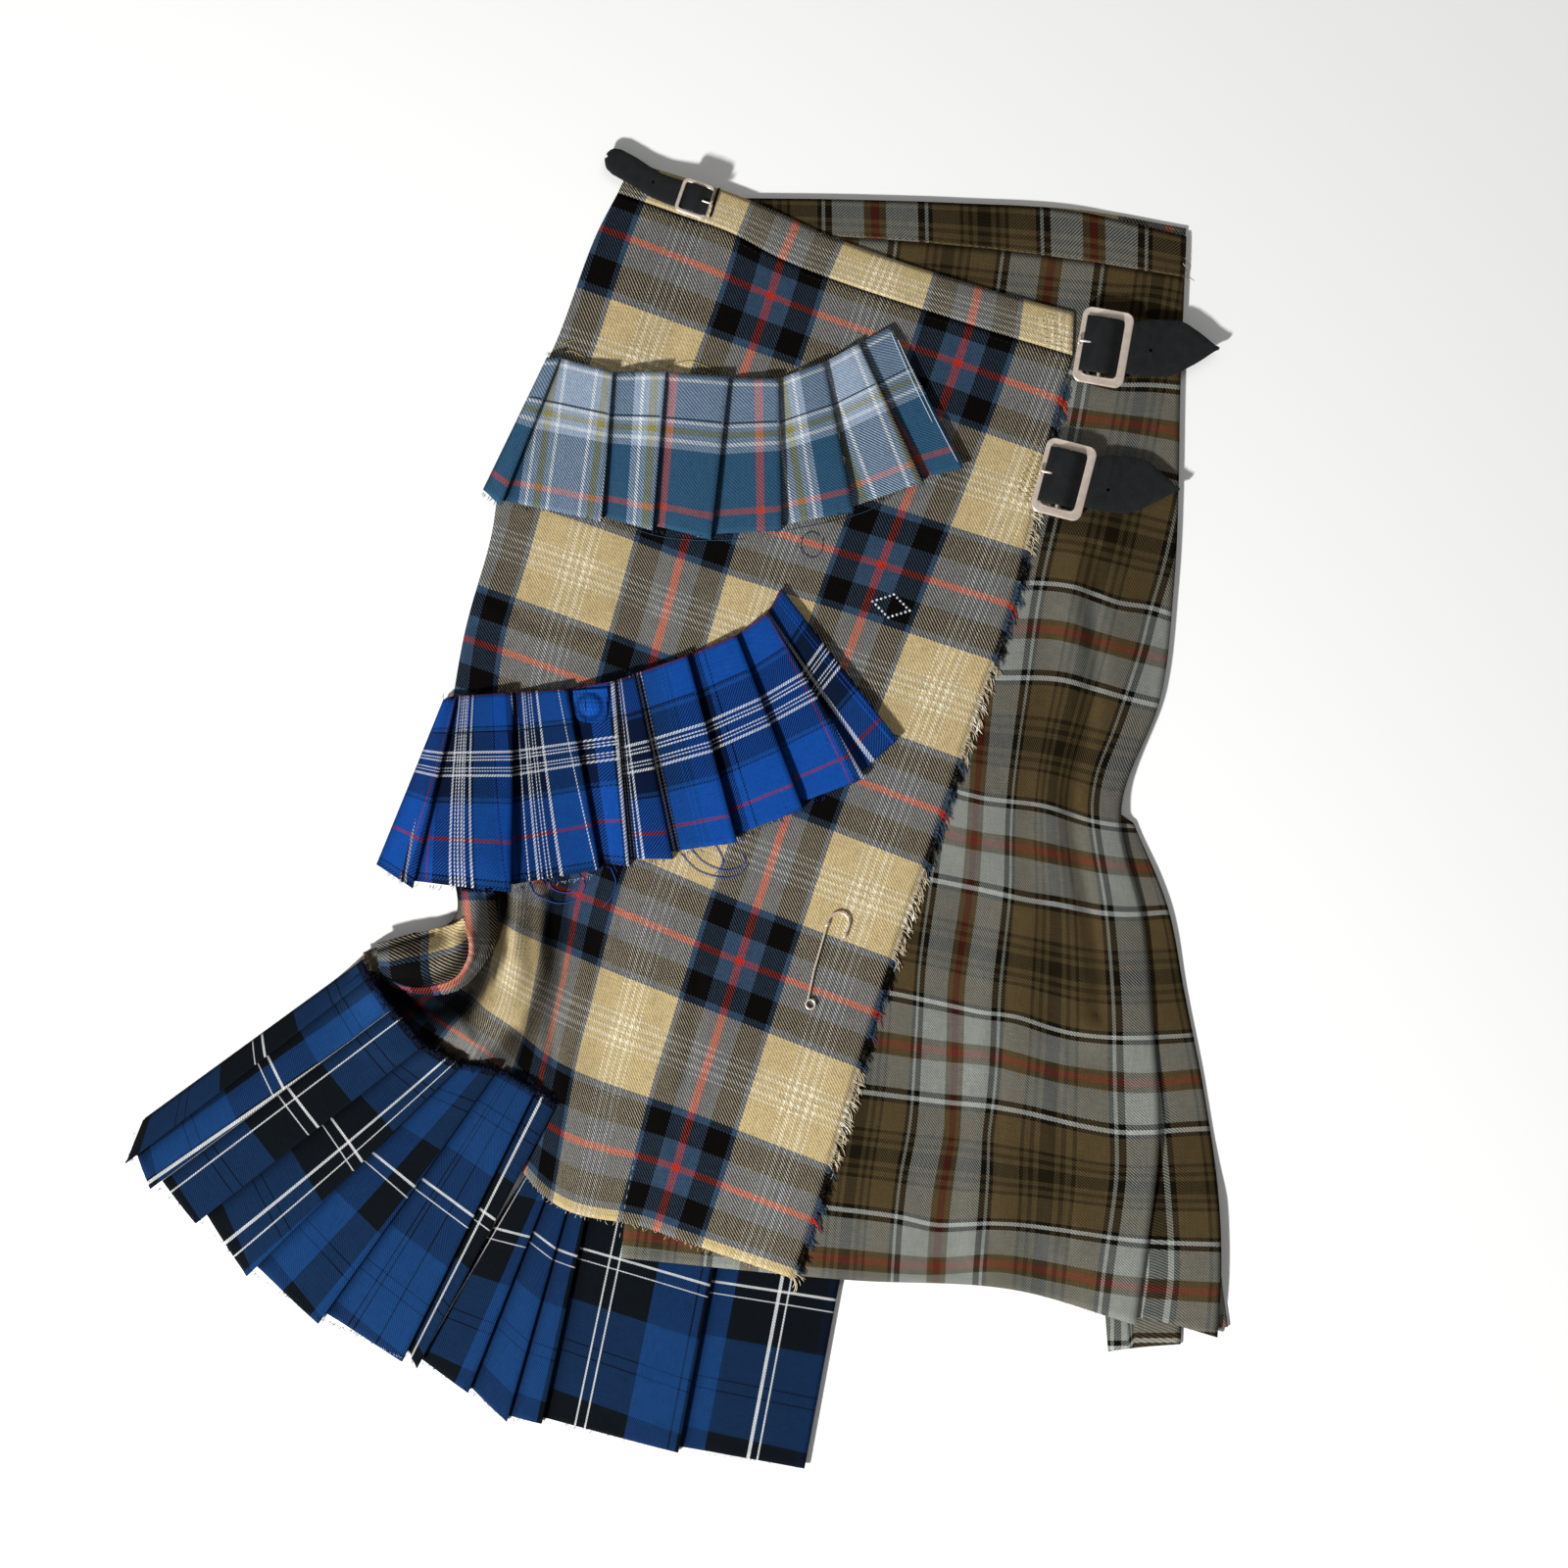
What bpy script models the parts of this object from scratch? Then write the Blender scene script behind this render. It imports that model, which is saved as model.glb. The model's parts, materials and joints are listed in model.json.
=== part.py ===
"""Patchwork wrap kilt laid flat: a brown pleated kilt under a tan check apron, with two pleated
ruffles, a gathered flounce, three leather straps with buckles and a kilt pin.

Plan measures are in millimetres, X to the right, Y up the kilt towards the waist, Z off the floor.
"""
import math
from collections import namedtuple

import bmesh
import bpy
import numpy as np
from mathutils import Matrix, Vector

MM = 0.001
GAP = 0.3            # between neighbouring pieces
CLOTH = 1.2          # wall of the body panels
RUFFLE_CLOTH = 1.0   # wall of the pleated strips
LEATHER = 2.0

Section = namedtuple("Section", "down points")
Fold = namedtuple("Fold", "path half_width")
Pleat = namedtuple("Pleat", "top_x top_y hem_x hem_y tuck_top tuck_hem")
StrapRow = namedtuple("StrapRow", "along half_width lift aside")
Strap = namedtuple("Strap", "rows arch held droop")
Frame = namedtuple("Frame", "width height bar plate corner centre_bar")
Tongue = namedtuple("Tongue", "root tip thick")
Spot = namedtuple("Spot", "x y turn")

Finish = namedtuple("Finish", "colour roughness metallic")
FINISHES = {
    "tan_check": Finish((0.55, 0.46, 0.31), 0.9, 0.0),
    "weathered_check": Finish((0.16, 0.13, 0.10), 0.9, 0.0),
    "light_blue_check": Finish((0.16, 0.26, 0.40), 0.9, 0.0),
    "bright_blue_check": Finish((0.02, 0.09, 0.42), 0.9, 0.0),
    "dark_blue_check": Finish((0.02, 0.05, 0.16), 0.9, 0.0),
    "leather": Finish((0.012, 0.013, 0.014), 0.55, 0.0),
    "nickel": Finish((0.58, 0.50, 0.43), 0.35, 1.0),
}

# Tan apron. Every section runs across: left edge, roll, tuck, first and second red stripe, right edge.
APRON_ACROSS = (0.0, 0.13, 0.26, 0.40, 0.74, 1.0)
APRON = (
    Section(0, ((-34, 339), (-3, 328), (27, 317), (56, 302), (160, 266), (216, 249))),
    Section(22, ((-44, 320), (-12, 308), (20, 295), (50, 282), (153, 245), (216, 223))),
    Section(82, ((-68, 257), (-36, 247), (-2, 236), (30, 225), (133, 190), (199, 168))),
    Section(142, ((-95, 201), (-60, 190), (-24, 178), (9, 166), (111, 134), (182, 112))),
    Section(200, ((-104, 149), (-73, 138), (-39, 126), (-6, 113), (91, 80), (163, 55))),
    Section(259, ((-119, 94), (-87, 83), (-54, 71), (-21, 59), (70, 26), (144, -2))),
    Section(376, ((-128, -20), (-106, -30), (-82, -39), (-55, -48), (33, -84), (107, -112))),
    Section(420, ((-127, -52), (-112, -67), (-89, -80), (-64, -93), (20, -126), (94, -155))),
    Section(455, ((-147, -64), (-124, -90), (-96, -110), (-72, -128), (9, -160), (84, -189))),
    Section(493, ((-166, -71), (-144, -108), (-108, -132), (-80, -167), (-2, -197), (73, -226))),
    Section(530, ((-174, -79), (-156, -122), (-116, -148), (-86, -200), (-13, -232), (62, -258))),
)
APRON_FINE_ACROSS = 0.42   # the folds lie left of this share of the width
APRON_FINE_DOWN = 376      # and below this length
APRON_FOLDS = (
    Fold(((-109, 30, 0), (-108, -20, 7), (-109, -52, 16),
          (-117, -76, 22), (-134, -85, 22), (-160, -86, 13)), 16),
    Fold(((-86, 10, 0), (-89, -40, 7), (-87, -75, 14),
          (-92, -100, 17), (-108, -119, 17), (-122, -126, 10)), 14),
    Fold(((-134, -110, 2), (-142, -122, 6), (-150, -126, 4)), 9),
)
FOLD_STEP = 0.25      # share of a fold's run between two of its points
FOLD_BLEND = 3.0
FOLD_ROUND = 1.2
STEEPEST = 2.0        # the wall thickens on a slope, up to this one
APRON_BAND_TOP = ((-26, 356), (10, 345), (45, 332), (80, 316), (115, 303), (149, 292), (183, 282), (217, 273))

# Brown weathered kilt under the apron. Sections: left edge, two points between, right fold.
FRONT_ACROSS = (0.0, 0.45, 0.78, 1.0)
FRONT = (
    Section(0, ((30, 318), (142, 310.5), (224, 301), (278, 292))),
    Section(60, ((24, 260), (138, 252), (221, 246), (276, 243))),
    Section(180, ((12, 140), (129, 132), (215, 125), (272, 121))),
    Section(240, ((5, 80), (122, 72), (208, 66), (265, 62))),
    Section(305, ((-3, 15), (108, 7), (189, 1), (243, 0))),
    Section(370, ((-10, -50), (110, -58), (197, -64), (256, -63))),
    Section(430, ((-17, -110), (108, -116), (200, -121), (261, -120))),
    Section(490, ((-24, -170), (106, -173), (201, -180), (264, -180))),
    Section(545, ((-29, -215), (100, -222), (195, -228), (258, -235))),
    Section(590, ((-32, -247), (96, -259.5), (190, -266), (251, -284))),
)
FRONT_BAND_TOP = ((30, 336), (92, 335.2), (154, 333.2), (216, 329.2), (279, 315))
BACK_BAND_TOP = ((36, 334), (96, 333.5), (157, 332.5), (218, 330), (279, 319.5))
BACK = (
    Section(0, ((34, 310.5), (160, 306.5), (276, 292.5))),
    Section(200, ((10, 120), (140, 120), (268, 115))),
    Section(320, ((-5, 0), (120, 0), (238, -3))),
    Section(450, ((-30, -110), (120, -110), (256, -112))),
    Section(560, ((-50, -165), (110, -205), (250, -240))),
)
SIDE_PLEAT = (
    Section(0, ((232, 2), (241, -2), (250, -8))),
    Section(50, ((230, -55), (250, -55), (269, -55))),
    Section(96, ((232, -101), (255, -101), (278, -101))),
    Section(152, ((238, -157), (264, -157), (289, -157))),
    Section(202, ((242, -207), (269, -207), (296, -207))),
    Section(252, ((244, -255), (271, -256), (298, -257))),
    Section(285, ((240, -278), (268, -283), (296, -291))),
)
SIDE_RETURN = (
    Section(0, ((276, -225), (287, -226), (296, -227))),
    Section(38, ((282, -263), (291, -263), (299, -263))),
    Section(60, ((290, -286), (296, -286), (302, -285.5))),
)
BACK_PLEAT = (
    Section(0, ((232, -225), (254, -225), (276, -225))),
    Section(45, ((234, -272), (255, -272), (276.5, -272))),
    Section(72, ((236, -299), (256, -296.5), (276, -295))),
)

# Pleated strips. A row is one visible fold edge from its head to its hem, and how far the cloth
# tucks back under it. The first and last rows are the strip's plain ends.
RUFFLE_UPPER = (
    Pleat(-73, 248, -109, 174, 0, 0),
    Pleat(-66, 248, -98, 168, 6, 6),
    Pleat(-37, 240, -43, 159, 7, 8),
    Pleat(-8, 240, -15, 154, 7, 8),
    Pleat(27, 237, 17, 149, 7, 8),
    Pleat(54, 236, 56, 154, 7, 8),
    Pleat(79, 245, 95, 164, 7, 8),
    Pleat(98, 255, 133, 180, 7, 8),
    Pleat(116, 265, 156, 188, 0, 0),
)
RUFFLE_LOWER = (
    Pleat(-130, 60, -168, -33, 0, 0),
    Pleat(-123, 62, -146, -42, 5, 7),
    Pleat(-92, 64, -92, -44, 7, 9),
    Pleat(-62, 66, -44, -32, 7, 8),
    Pleat(-36, 70, -28, -30, 7, 8),
    Pleat(-25, 74, -4, -26, 6, 7),
    Pleat(4, 84, 31, -17, 7, 8),
    Pleat(31, 95, 67, 1, 7, 8),
    Pleat(48, 107, 101, 18, 6, 8),
    Pleat(56, 121, 119, 39, 0, 0),
)
FLOUNCE_LEFT = (
    Pleat(-174, -83, -299, -174, 0, 0),
    Pleat(-169, -91, -302, -193, 3, 4),
    Pleat(-157, -109, -289, -207, 4, 8),
    Pleat(-140, -129, -264, -226, 4, 8),
    Pleat(-120, -140, -236, -255, 4, 9),
    Pleat(-100, -143, -197, -281, 4, 8),
    Pleat(-79, -154, -151, -301, 4, 7),
    Pleat(-67, -162, -143, -305, 0, 0),
)
FLOUNCE_RIGHT = (
    Pleat(-66, -170, -147, -302, 0, 0),
    Pleat(-58, -173, -116, -320, 4, 6),
    Pleat(-50, -176, -95, -336, 4, 6),
    Pleat(-42, -179, -76, -337, 5, 8),
    Pleat(30, -192, -1, -353, 6, 8),
    Pleat(100, -197, 69, -362, 0, 0),
)
PLEAT_LAYER = RUFFLE_CLOTH + GAP
FLOUNCE_ROWS = (0, 0.03, 0.06, 0.1, 0.15, 0.22, 0.31, 0.42, 0.54, 0.68, 0.84, 1)
FACE_STEP = 14.0      # longest run of a pleat's face without a point of its own
FOLD_LAYERS = 2.0     # a pleat's visible edge lies on two layers of its own cloth
END_LAYERS = 0.6

# How finely each sheet is cut: longest row in millimetres, widest column as a share of its width.
FINENESS = {
    "back_panel": (40, 0.2),
    "back_pleat": (24, 0.5),
    "side_return": (15, 0.5),
    "side_pleat": (18, 0.2),
    "front_panel": (24, 0.08),
}
APRON_ROWS = (26, 8)
APRON_COLUMNS = (0.03, 0.075)
STRIP_ROWS = {"flounce_right": 0.14, "ruffle_upper": 0.2, "ruffle_lower": 0.13}

FRINGE_LENGTH = 7.5
SEAM_FRAY = 5.0
FRINGE_STRIP = 1.4
FRINGE_THICK = 0.9
FRINGE_VARIES = 0.16
FRINGE_SWAY = 1.6
LOCK_WAVES = (3.7, 2.1, 0.7)   # uneven beats that vary the locks
APRON_LOCKS = 96
FLOUNCE_LOCKS = 34
FRINGE_START = 2               # rows of the apron above its frayed edge

# Straps lie along their buckle's turn, measured from the buckle's middle.
STRAP_WIDTH = 31.0
THROAT = 27.5 / 2     # half width where a strap narrows to pass its buckle
STRAP_STEP = 5.0
STRAP_SIDES = (-1, -0.5, 0.5, 1)
LONG_STRAP = Strap(arch=4.6, held=15.0, droop=0.07, rows=(
    StrapRow(-18, THROAT, 0.0, 0),
    StrapRow(-8.9, THROAT, 0.0, 0),
    StrapRow(-6.5, THROAT, 0.45, 0),
    StrapRow(-3.5, THROAT, 0.95, 0),
    StrapRow(0, THROAT, 1.0, 0),
    StrapRow(3.5, THROAT, 0.95, 0),
    StrapRow(6.5, THROAT, 0.45, 0),
    StrapRow(8.9, THROAT, 0.0, 0.2),
    StrapRow(15, THROAT, 0.0, 1.0),
    StrapRow(19, STRAP_WIDTH / 2, 0.0, 1.7),
    StrapRow(38, STRAP_WIDTH / 2, 0.0, 5.0),
    StrapRow(43, 13.4, 0.0, 5.9),
    StrapRow(50, 9.4, 0.0, 7.1),
    StrapRow(57, 4.9, 0.0, 8.3),
    StrapRow(65, 0.7, 0.0, 9.6),
))
SHORT_STRAP = Strap(arch=4.2, held=9.5, droop=0.12, rows=(
    StrapRow(-53, 2.4, 0.0, 6.9),
    StrapRow(-51, 5.2, 0.0, 6.5),
    StrapRow(-47, 6.7, 0.0, 5.8),
    StrapRow(-38, 6.8, 0.0, 4.2),
    StrapRow(-30, 6.7, 0.0, 2.2),
    StrapRow(-22, 6.6, 0.0, 0.4),
    StrapRow(-14, 6.8, 0.0, 0),
    StrapRow(-6.9, 7.0, 0.0, 0),
    StrapRow(-4.5, 7.0, 0.5, 0),
    StrapRow(-1.8, 7.0, 1.0, 0),
    StrapRow(1.8, 7.0, 1.0, 0),
    StrapRow(4.5, 7.0, 0.5, 0),
    StrapRow(6.9, 7.0, 0.0, 0),
    StrapRow(11, 7.0, 0.0, 0),
))
LARGE_FRAME = Frame(width=28.5, height=39.5, bar=5.2, plate=2.0, corner=5.0, centre_bar=2.4)
SMALL_FRAME = Frame(width=18.0, height=19.0, bar=2.0, plate=1.6, corner=2.0, centre_bar=1.2)
LARGE_TONGUE = Tongue(root=-6.0, tip=-12.6, thick=1.6)
SMALL_TONGUE = Tongue(root=4.6, tip=8.6, thick=1.2)
TONGUE_SIDES = 6
TONGUE_TAPER = ((0.0, 0.5), (0.5, 0.5), (0.9, 0.4), (1.0, 0.2))
CORNER_STEPS = 4
INNER_CORNER = 1.2
CENTRE_BAR_FROM = 0.02   # the centre bar's foot and top, as shares of the frame's plate
CENTRE_BAR_TO = 0.82
FASTENINGS = (
    ("upper", Spot(233.0, 254.5, -10.0), LONG_STRAP, LARGE_FRAME, LARGE_TONGUE),
    ("lower", Spot(211.5, 182.0, -14.5), LONG_STRAP, LARGE_FRAME, LARGE_TONGUE),
    ("small", Spot(8.5, 334.5, -19.0), SHORT_STRAP, SMALL_FRAME, SMALL_TONGUE),
)

PIN_WIRE = 1.5
PIN_HEAD = (88.0, -60.0)
PIN_HEAD_RADIUS = 6.2
PIN_COIL = (71.5, -107.0)
PIN_COIL_RADIUS = 2.7
PIN_HOOK = (-35, 180)     # degrees swept by the head
PIN_HOOK_STEPS = 9
PIN_ARM_STEPS = 4
PIN_COIL_STEPS = 11
PIN_COIL_SWEEP = 305
PIN_REACH = 6.0


def smooth(keys, values, at):
    """Cubic through the values at the keys, with slopes taken from the neighbours."""
    keys = np.asarray(keys, float)
    values = np.asarray(values, float)
    slopes = np.gradient(values, keys, axis=0)
    i = int(np.clip(np.searchsorted(keys, at, side="right") - 1, 0, len(keys) - 2))
    span = keys[i + 1] - keys[i]
    s = (at - keys[i]) / span
    return (values[i] * (2 * s**3 - 3 * s**2 + 1) + span * slopes[i] * (s**3 - 2 * s**2 + s)
            + values[i + 1] * (3 * s**2 - 2 * s**3) + span * slopes[i + 1] * (s**3 - s**2))


def along(points, s):
    """Point at the length s along a polyline, running straight on past both of its ends."""
    points = np.asarray(points, float)
    steps = np.linalg.norm(np.diff(points, axis=0), axis=1)
    marks = np.concatenate(([0.0], np.cumsum(steps)))
    i = int(np.clip(np.searchsorted(marks, s, side="right") - 1, 0, len(steps) - 1))
    return points[i] + (points[i + 1] - points[i]) * (s - marks[i]) / steps[i]


class Pile:
    """Height of everything laid so far, on a square grid over the plan."""

    CELL = 2.0
    HALF = 500.0

    def __init__(self):
        count = int(2 * self.HALF / self.CELL)
        self.top = np.zeros((count, count))
        self.waiting = []

    def cells(self, points):
        return ((np.asarray(points) + self.HALF) / self.CELL).astype(int)

    def settle(self):
        """Everything made since the last call now carries what comes next."""
        for points, triangles in self.waiting:
            self.lay(points, triangles)
        self.waiting = []

    def lay(self, points, triangles):
        for triangle in triangles:
            a, b, c = points[list(triangle)]
            size = max(np.ptp([a[0], b[0], c[0]]), np.ptp([a[1], b[1], c[1]]))
            n = max(2, int(size / (0.6 * self.CELL)) + 1)
            u, v = np.meshgrid(np.linspace(0, 1, n + 1), np.linspace(0, 1, n + 1))
            inside = u + v <= 1.0 + 1e-9
            u = u[inside][:, None]
            v = v[inside][:, None]
            spots = a + (b - a) * u + (c - a) * v
            cell = self.cells(spots[:, :2])
            np.maximum.at(self.top, (cell[:, 0], cell[:, 1]), spots[:, 2])

    def level(self, x, y, reach):
        """Lowest height that clears everything within reach of a plan point."""
        return self.clear((x - reach, y - reach), (x + reach, y + reach))

    def clear(self, low, high):
        """Lowest height that clears everything inside a plan box."""
        low = self.cells(low)
        high = self.cells(high) + 1
        found = self.top[low[0]:high[0], low[1]:high[1]].max()
        return found + GAP if found > 0 else 0.0

    def clear_grid(self, plan):
        """Clear height of each point of a grid, over all the faces that meet there."""
        rows, columns = plan.shape[:2]
        lowest = np.zeros((rows, columns))
        for i in range(rows):
            for j in range(columns):
                near = plan[max(i - 1, 0):i + 2, max(j - 1, 0):j + 2].reshape(-1, 2)
                lowest[i, j] = self.clear(near.min(axis=0), near.max(axis=0))
        return lowest


PILE = Pile()
MATERIALS = {}


def finish(name):
    if name not in MATERIALS:
        look = FINISHES[name]
        material = bpy.data.materials.new(name)
        material.use_nodes = True
        shader = material.node_tree.nodes["Principled BSDF"]
        shader.inputs["Base Color"].default_value = (*look.colour, 1.0)
        shader.inputs["Roughness"].default_value = look.roughness
        shader.inputs["Metallic"].default_value = look.metallic
        MATERIALS[name] = material
    return MATERIALS[name]


def place(name, mesh, look):
    """Puts a mesh into the scene as the named piece."""
    mesh.materials.append(finish(look))
    mesh.shade_smooth()
    mesh.set_sharp_from_angle(angle=math.radians(50))
    piece = bpy.data.objects.new(name, mesh)
    bpy.context.scene.collection.objects.link(piece)
    return piece


def wall(name, upper, lower, triangles, look, lies=True):
    """Closed wall between two sheets of points that share their triangles."""
    count = len(upper)
    points = np.vstack((upper, lower))
    faces = [tuple(t) for t in triangles] + [(a + count, c + count, b + count) for a, b, c in triangles]
    edges = {(t[k], t[(k + 1) % 3]) for t in triangles for k in range(3)}
    for a, b in sorted(edges):
        if (b, a) not in edges:
            faces.append((b, a, a + count))
            faces.append((b, a + count, b + count))
    mesh = bpy.data.meshes.new(name)
    mesh.from_pydata([Vector(p) * MM for p in points.tolist()], [], faces)
    mesh.update()
    if lies:
        PILE.waiting.append((points, faces))
    return place(name, mesh, look)


def grid_triangles(rows, columns):
    """Triangles of a grid of points, rows running away from the waist and columns to the right."""
    triangles = []
    for i in range(rows - 1):
        for j in range(columns - 1):
            a = i * columns + j
            triangles.append((a, a + columns, a + 1))
            triangles.append((a + 1, a + columns, a + columns + 1))
    return triangles


def drape(lower, passes):
    """Softens a grid of heights without letting it sink below its lowest clear height."""
    height = lower.copy()
    for _ in range(passes):
        padded = np.pad(height, 1, mode="edge")
        mean = (padded[:-2, 1:-1] + padded[2:, 1:-1] + padded[1:-1, :-2] + padded[1:-1, 2:]) / 4
        height = np.maximum(lower, mean)
    return height


def ridges(folds):
    """Fold paths as short straight runs."""
    runs = []
    for fold in folds:
        keys = np.arange(len(fold.path))
        stops = spread(0, len(fold.path) - 1, FOLD_STEP)
        line = np.array([smooth(keys, fold.path, k) for k in stops])
        runs.append((line, fold.half_width))
    return runs


def fold_rise(plan, folds):
    """Height of the soft folds over the plan: each is a rounded ridge along its path."""
    rise = np.zeros(plan.shape[:2])
    for line, half_width in ridges(folds):
        best = np.zeros(plan.shape[:2])
        for a, b in zip(line[:-1], line[1:]):
            run = (b - a)[:2]
            share = np.clip((plan - a[:2]) @ run / (run @ run), 0, 1)
            away = np.linalg.norm(plan - a[:2] - share[..., None] * run, axis=2) / half_width
            high = np.maximum(a[2] + (b[2] - a[2]) * share, 0)
            best = np.maximum(best, high * np.cos(np.minimum(away, 1) * math.pi / 2) ** FOLD_ROUND)
        rise = (rise ** FOLD_BLEND + best ** FOLD_BLEND) ** (1 / FOLD_BLEND)
    return rise


def sheet_points(sections, across, downs, columns):
    keys = [s.down for s in sections]
    table = np.array([s.points for s in sections], float)
    rows = []
    for down in downs:
        row = smooth(keys, table, down)
        rows.append([smooth(across, row, u) for u in columns])
    return np.array(rows)


def panel(name, plan, look, folds=(), passes=0):
    """Lays a panel over all that is under it. The plan is a grid of points, waist to hem."""
    rows, columns = plan.shape[:2]
    under = drape(PILE.clear_grid(plan), passes) + fold_rise(plan, folds)
    over = under + CLOTH * np.sqrt(1 + np.minimum(steepness(plan, under), STEEPEST) ** 2)
    upper = np.dstack((plan, over)).reshape(-1, 3)
    lower = np.dstack((plan, under)).reshape(-1, 3)
    return wall(name, upper, lower, grid_triangles(rows, columns), look)


def steepness(plan, height):
    """Steepest rise beside each grid point."""
    steep = np.zeros(height.shape)
    for axis in (0, 1):
        run = np.maximum(np.linalg.norm(np.diff(plan, axis=axis), axis=2), 0.1)
        rise = np.abs(np.diff(height, axis=axis)) / run
        if axis == 0:
            steep[:-1] = np.maximum(steep[:-1], rise)
            steep[1:] = np.maximum(steep[1:], rise)
        else:
            steep[:, :-1] = np.maximum(steep[:, :-1], rise)
            steep[:, 1:] = np.maximum(steep[:, 1:], rise)
    return steep


def spread(low, high, step):
    """Evenly spaced stops from low to high, no further apart than step."""
    count = max(1, math.ceil((high - low) / step - 1e-6))
    return list(np.linspace(low, high, count + 1))


def band(name, top, seam, look):
    """A waistband between its top edge and the seam row of the panel it is sewn to."""
    seam = np.asarray(seam, float)
    run = np.gradient(seam, axis=0)
    run /= np.linalg.norm(run, axis=1)[:, None]
    foot = seam + np.column_stack((-run[:, 1], run[:, 0])) * GAP
    steps = np.linalg.norm(np.diff(seam, axis=0), axis=1)
    shares = np.concatenate(([0.0], np.cumsum(steps))) / steps.sum()
    keys = np.linspace(0, 1, len(top))
    head = np.array([smooth(keys, top, share) for share in shares])
    return panel(name, np.array([head, foot]), look)


def pleated_strip(name, pleats, look, rows, passes=2):
    """A strip of knife pleats: at every fold edge the cloth turns under, runs back and sets off again."""
    tops = np.array([(p.top_x, p.top_y) for p in pleats], float)
    hems = np.array([(p.hem_x, p.hem_y) for p in pleats], float)
    widths = np.linalg.norm(np.diff(hems, axis=0), axis=1)
    faces = len(widths)
    spans = [width - pleat.tuck_hem for width, pleat in zip(widths, pleats[1:])]
    stops = [max(0, round(span / FACE_STEP) - 1) for span in spans]

    # Turns along one row of the strip: where the faces' own points and the two ends of each tuck stand.
    plan = []
    for v in rows:
        edge = tops + (hems - tops) * v
        marks = np.concatenate(([0.0], np.cumsum(np.linalg.norm(np.diff(edge, axis=0), axis=1))))
        tucks = [p.tuck_top + (p.tuck_hem - p.tuck_top) * v for p in pleats]
        turns = [marks[0]]
        for k in range(faces):
            turns += list(np.linspace(marks[k], marks[k + 1] - tucks[k + 1], stops[k] + 2)[1:])
            if k < faces - 1:
                turns.append(marks[k + 1])
        plan.append([along(edge, s) for s in turns])
    plan = np.array(plan)
    steps = np.linalg.norm(np.diff(plan, axis=1), axis=2)
    lengths = np.concatenate((np.zeros((len(rows), 1)), np.cumsum(steps, axis=1)), axis=1)
    base = drape(PILE.clear_grid(plan), passes)

    # The cloth's middle line, as (turn it stands at, layers above the base).
    line = [(0, 0.0)]
    turn = 0
    for k in range(faces):
        high = FOLD_LAYERS if k < faces - 1 else END_LAYERS
        for step in range(1, stops[k] + 2):
            turn += 1
            line.append((turn, high * step / (stops[k] + 1)))
        if k < faces - 1:
            back, fold = turn, turn + 1
            line += [(fold, FOLD_LAYERS), (fold, 1.0), (back, 1.0), (back, 0.0), (fold, 0.0)]
            turn = fold

    upper = []
    lower = []
    half = RUFFLE_CLOTH / 2
    for i in range(len(rows)):
        flat = np.array([(lengths[i, turn], layer * PLEAT_LAYER) for turn, layer in line])
        above, below = offset_line(flat, half)
        for points, side in ((above, upper), (below, lower)):
            for (s, z), (turn, _) in zip(points, line):
                x, y = along(plan[i], s)
                side.append((x, y, z + half + base[i, turn]))
    return wall(name, np.array(upper), np.array(lower), grid_triangles(len(rows), len(line)), look)


def offset_line(points, half):
    """The two sides of a wall of even thickness about an open line, with mitred corners."""
    steps = np.diff(points, axis=0)
    steps /= np.linalg.norm(steps, axis=1)[:, None]
    normals = np.column_stack((-steps[:, 1], steps[:, 0]))
    first = np.vstack((normals[:1], normals))
    second = np.vstack((normals, normals[-1:]))
    middle = first + second
    middle /= (middle * first).sum(axis=1)[:, None]
    return points + middle * half, points - middle * half


def fringe(name, edge, locks, look, length=FRINGE_LENGTH):
    """Frayed locks on a narrow strip that lies just off a cloth edge, to the left of its run."""
    edge = np.asarray(edge, float)
    pitch = np.linalg.norm(np.diff(edge, axis=0), axis=1).sum() / locks
    long_beat, sway_beat, slow_beat = LOCK_WAVES

    def spot(share, out, drift=0.0):
        here = along(edge, share * pitch)
        ahead = along(edge, (share + 2) * pitch)
        behind = along(edge, (share - 2) * pitch)
        run = (ahead - behind) / np.linalg.norm(ahead - behind)
        return here + np.array((-run[1], run[0])) * (GAP + out) + run * drift

    plan = []
    triangles = []
    for k in range(locks + 1):
        plan += [spot(k, 0), spot(k, FRINGE_STRIP)]
    for k in range(locks):
        reach = length * (1 + FRINGE_VARIES * math.sin(long_beat * k))
        sway = FRINGE_SWAY * (math.sin(sway_beat * k) + math.sin(slow_beat * k) / 2)
        plan.append(spot(k + 0.5, reach, sway))
        a = 2 * k
        triangles += [(a, a + 3, a + 1), (a, a + 2, a + 3), (a + 1, a + 3, 2 * locks + 2 + k)]
    plan = np.array(plan)
    level = np.array([PILE.level(x, y, FRINGE_LENGTH) for x, y in plan])
    roots = level[:2 * locks + 2].reshape(-1, 2).max(axis=1)
    padded = np.pad(roots, 1, mode="edge")
    roots = np.maximum(roots, (padded[:-2] + padded[1:-1] + padded[2:]) / 3)
    height = np.concatenate((np.repeat(roots, 2), np.maximum(roots[:-1], roots[1:])))
    height = np.maximum(height, level)
    lower = np.column_stack((plan, height))
    upper = np.column_stack((plan, height + FRINGE_THICK))
    return wall(name, upper, lower, triangles, look, lies=False)


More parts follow.
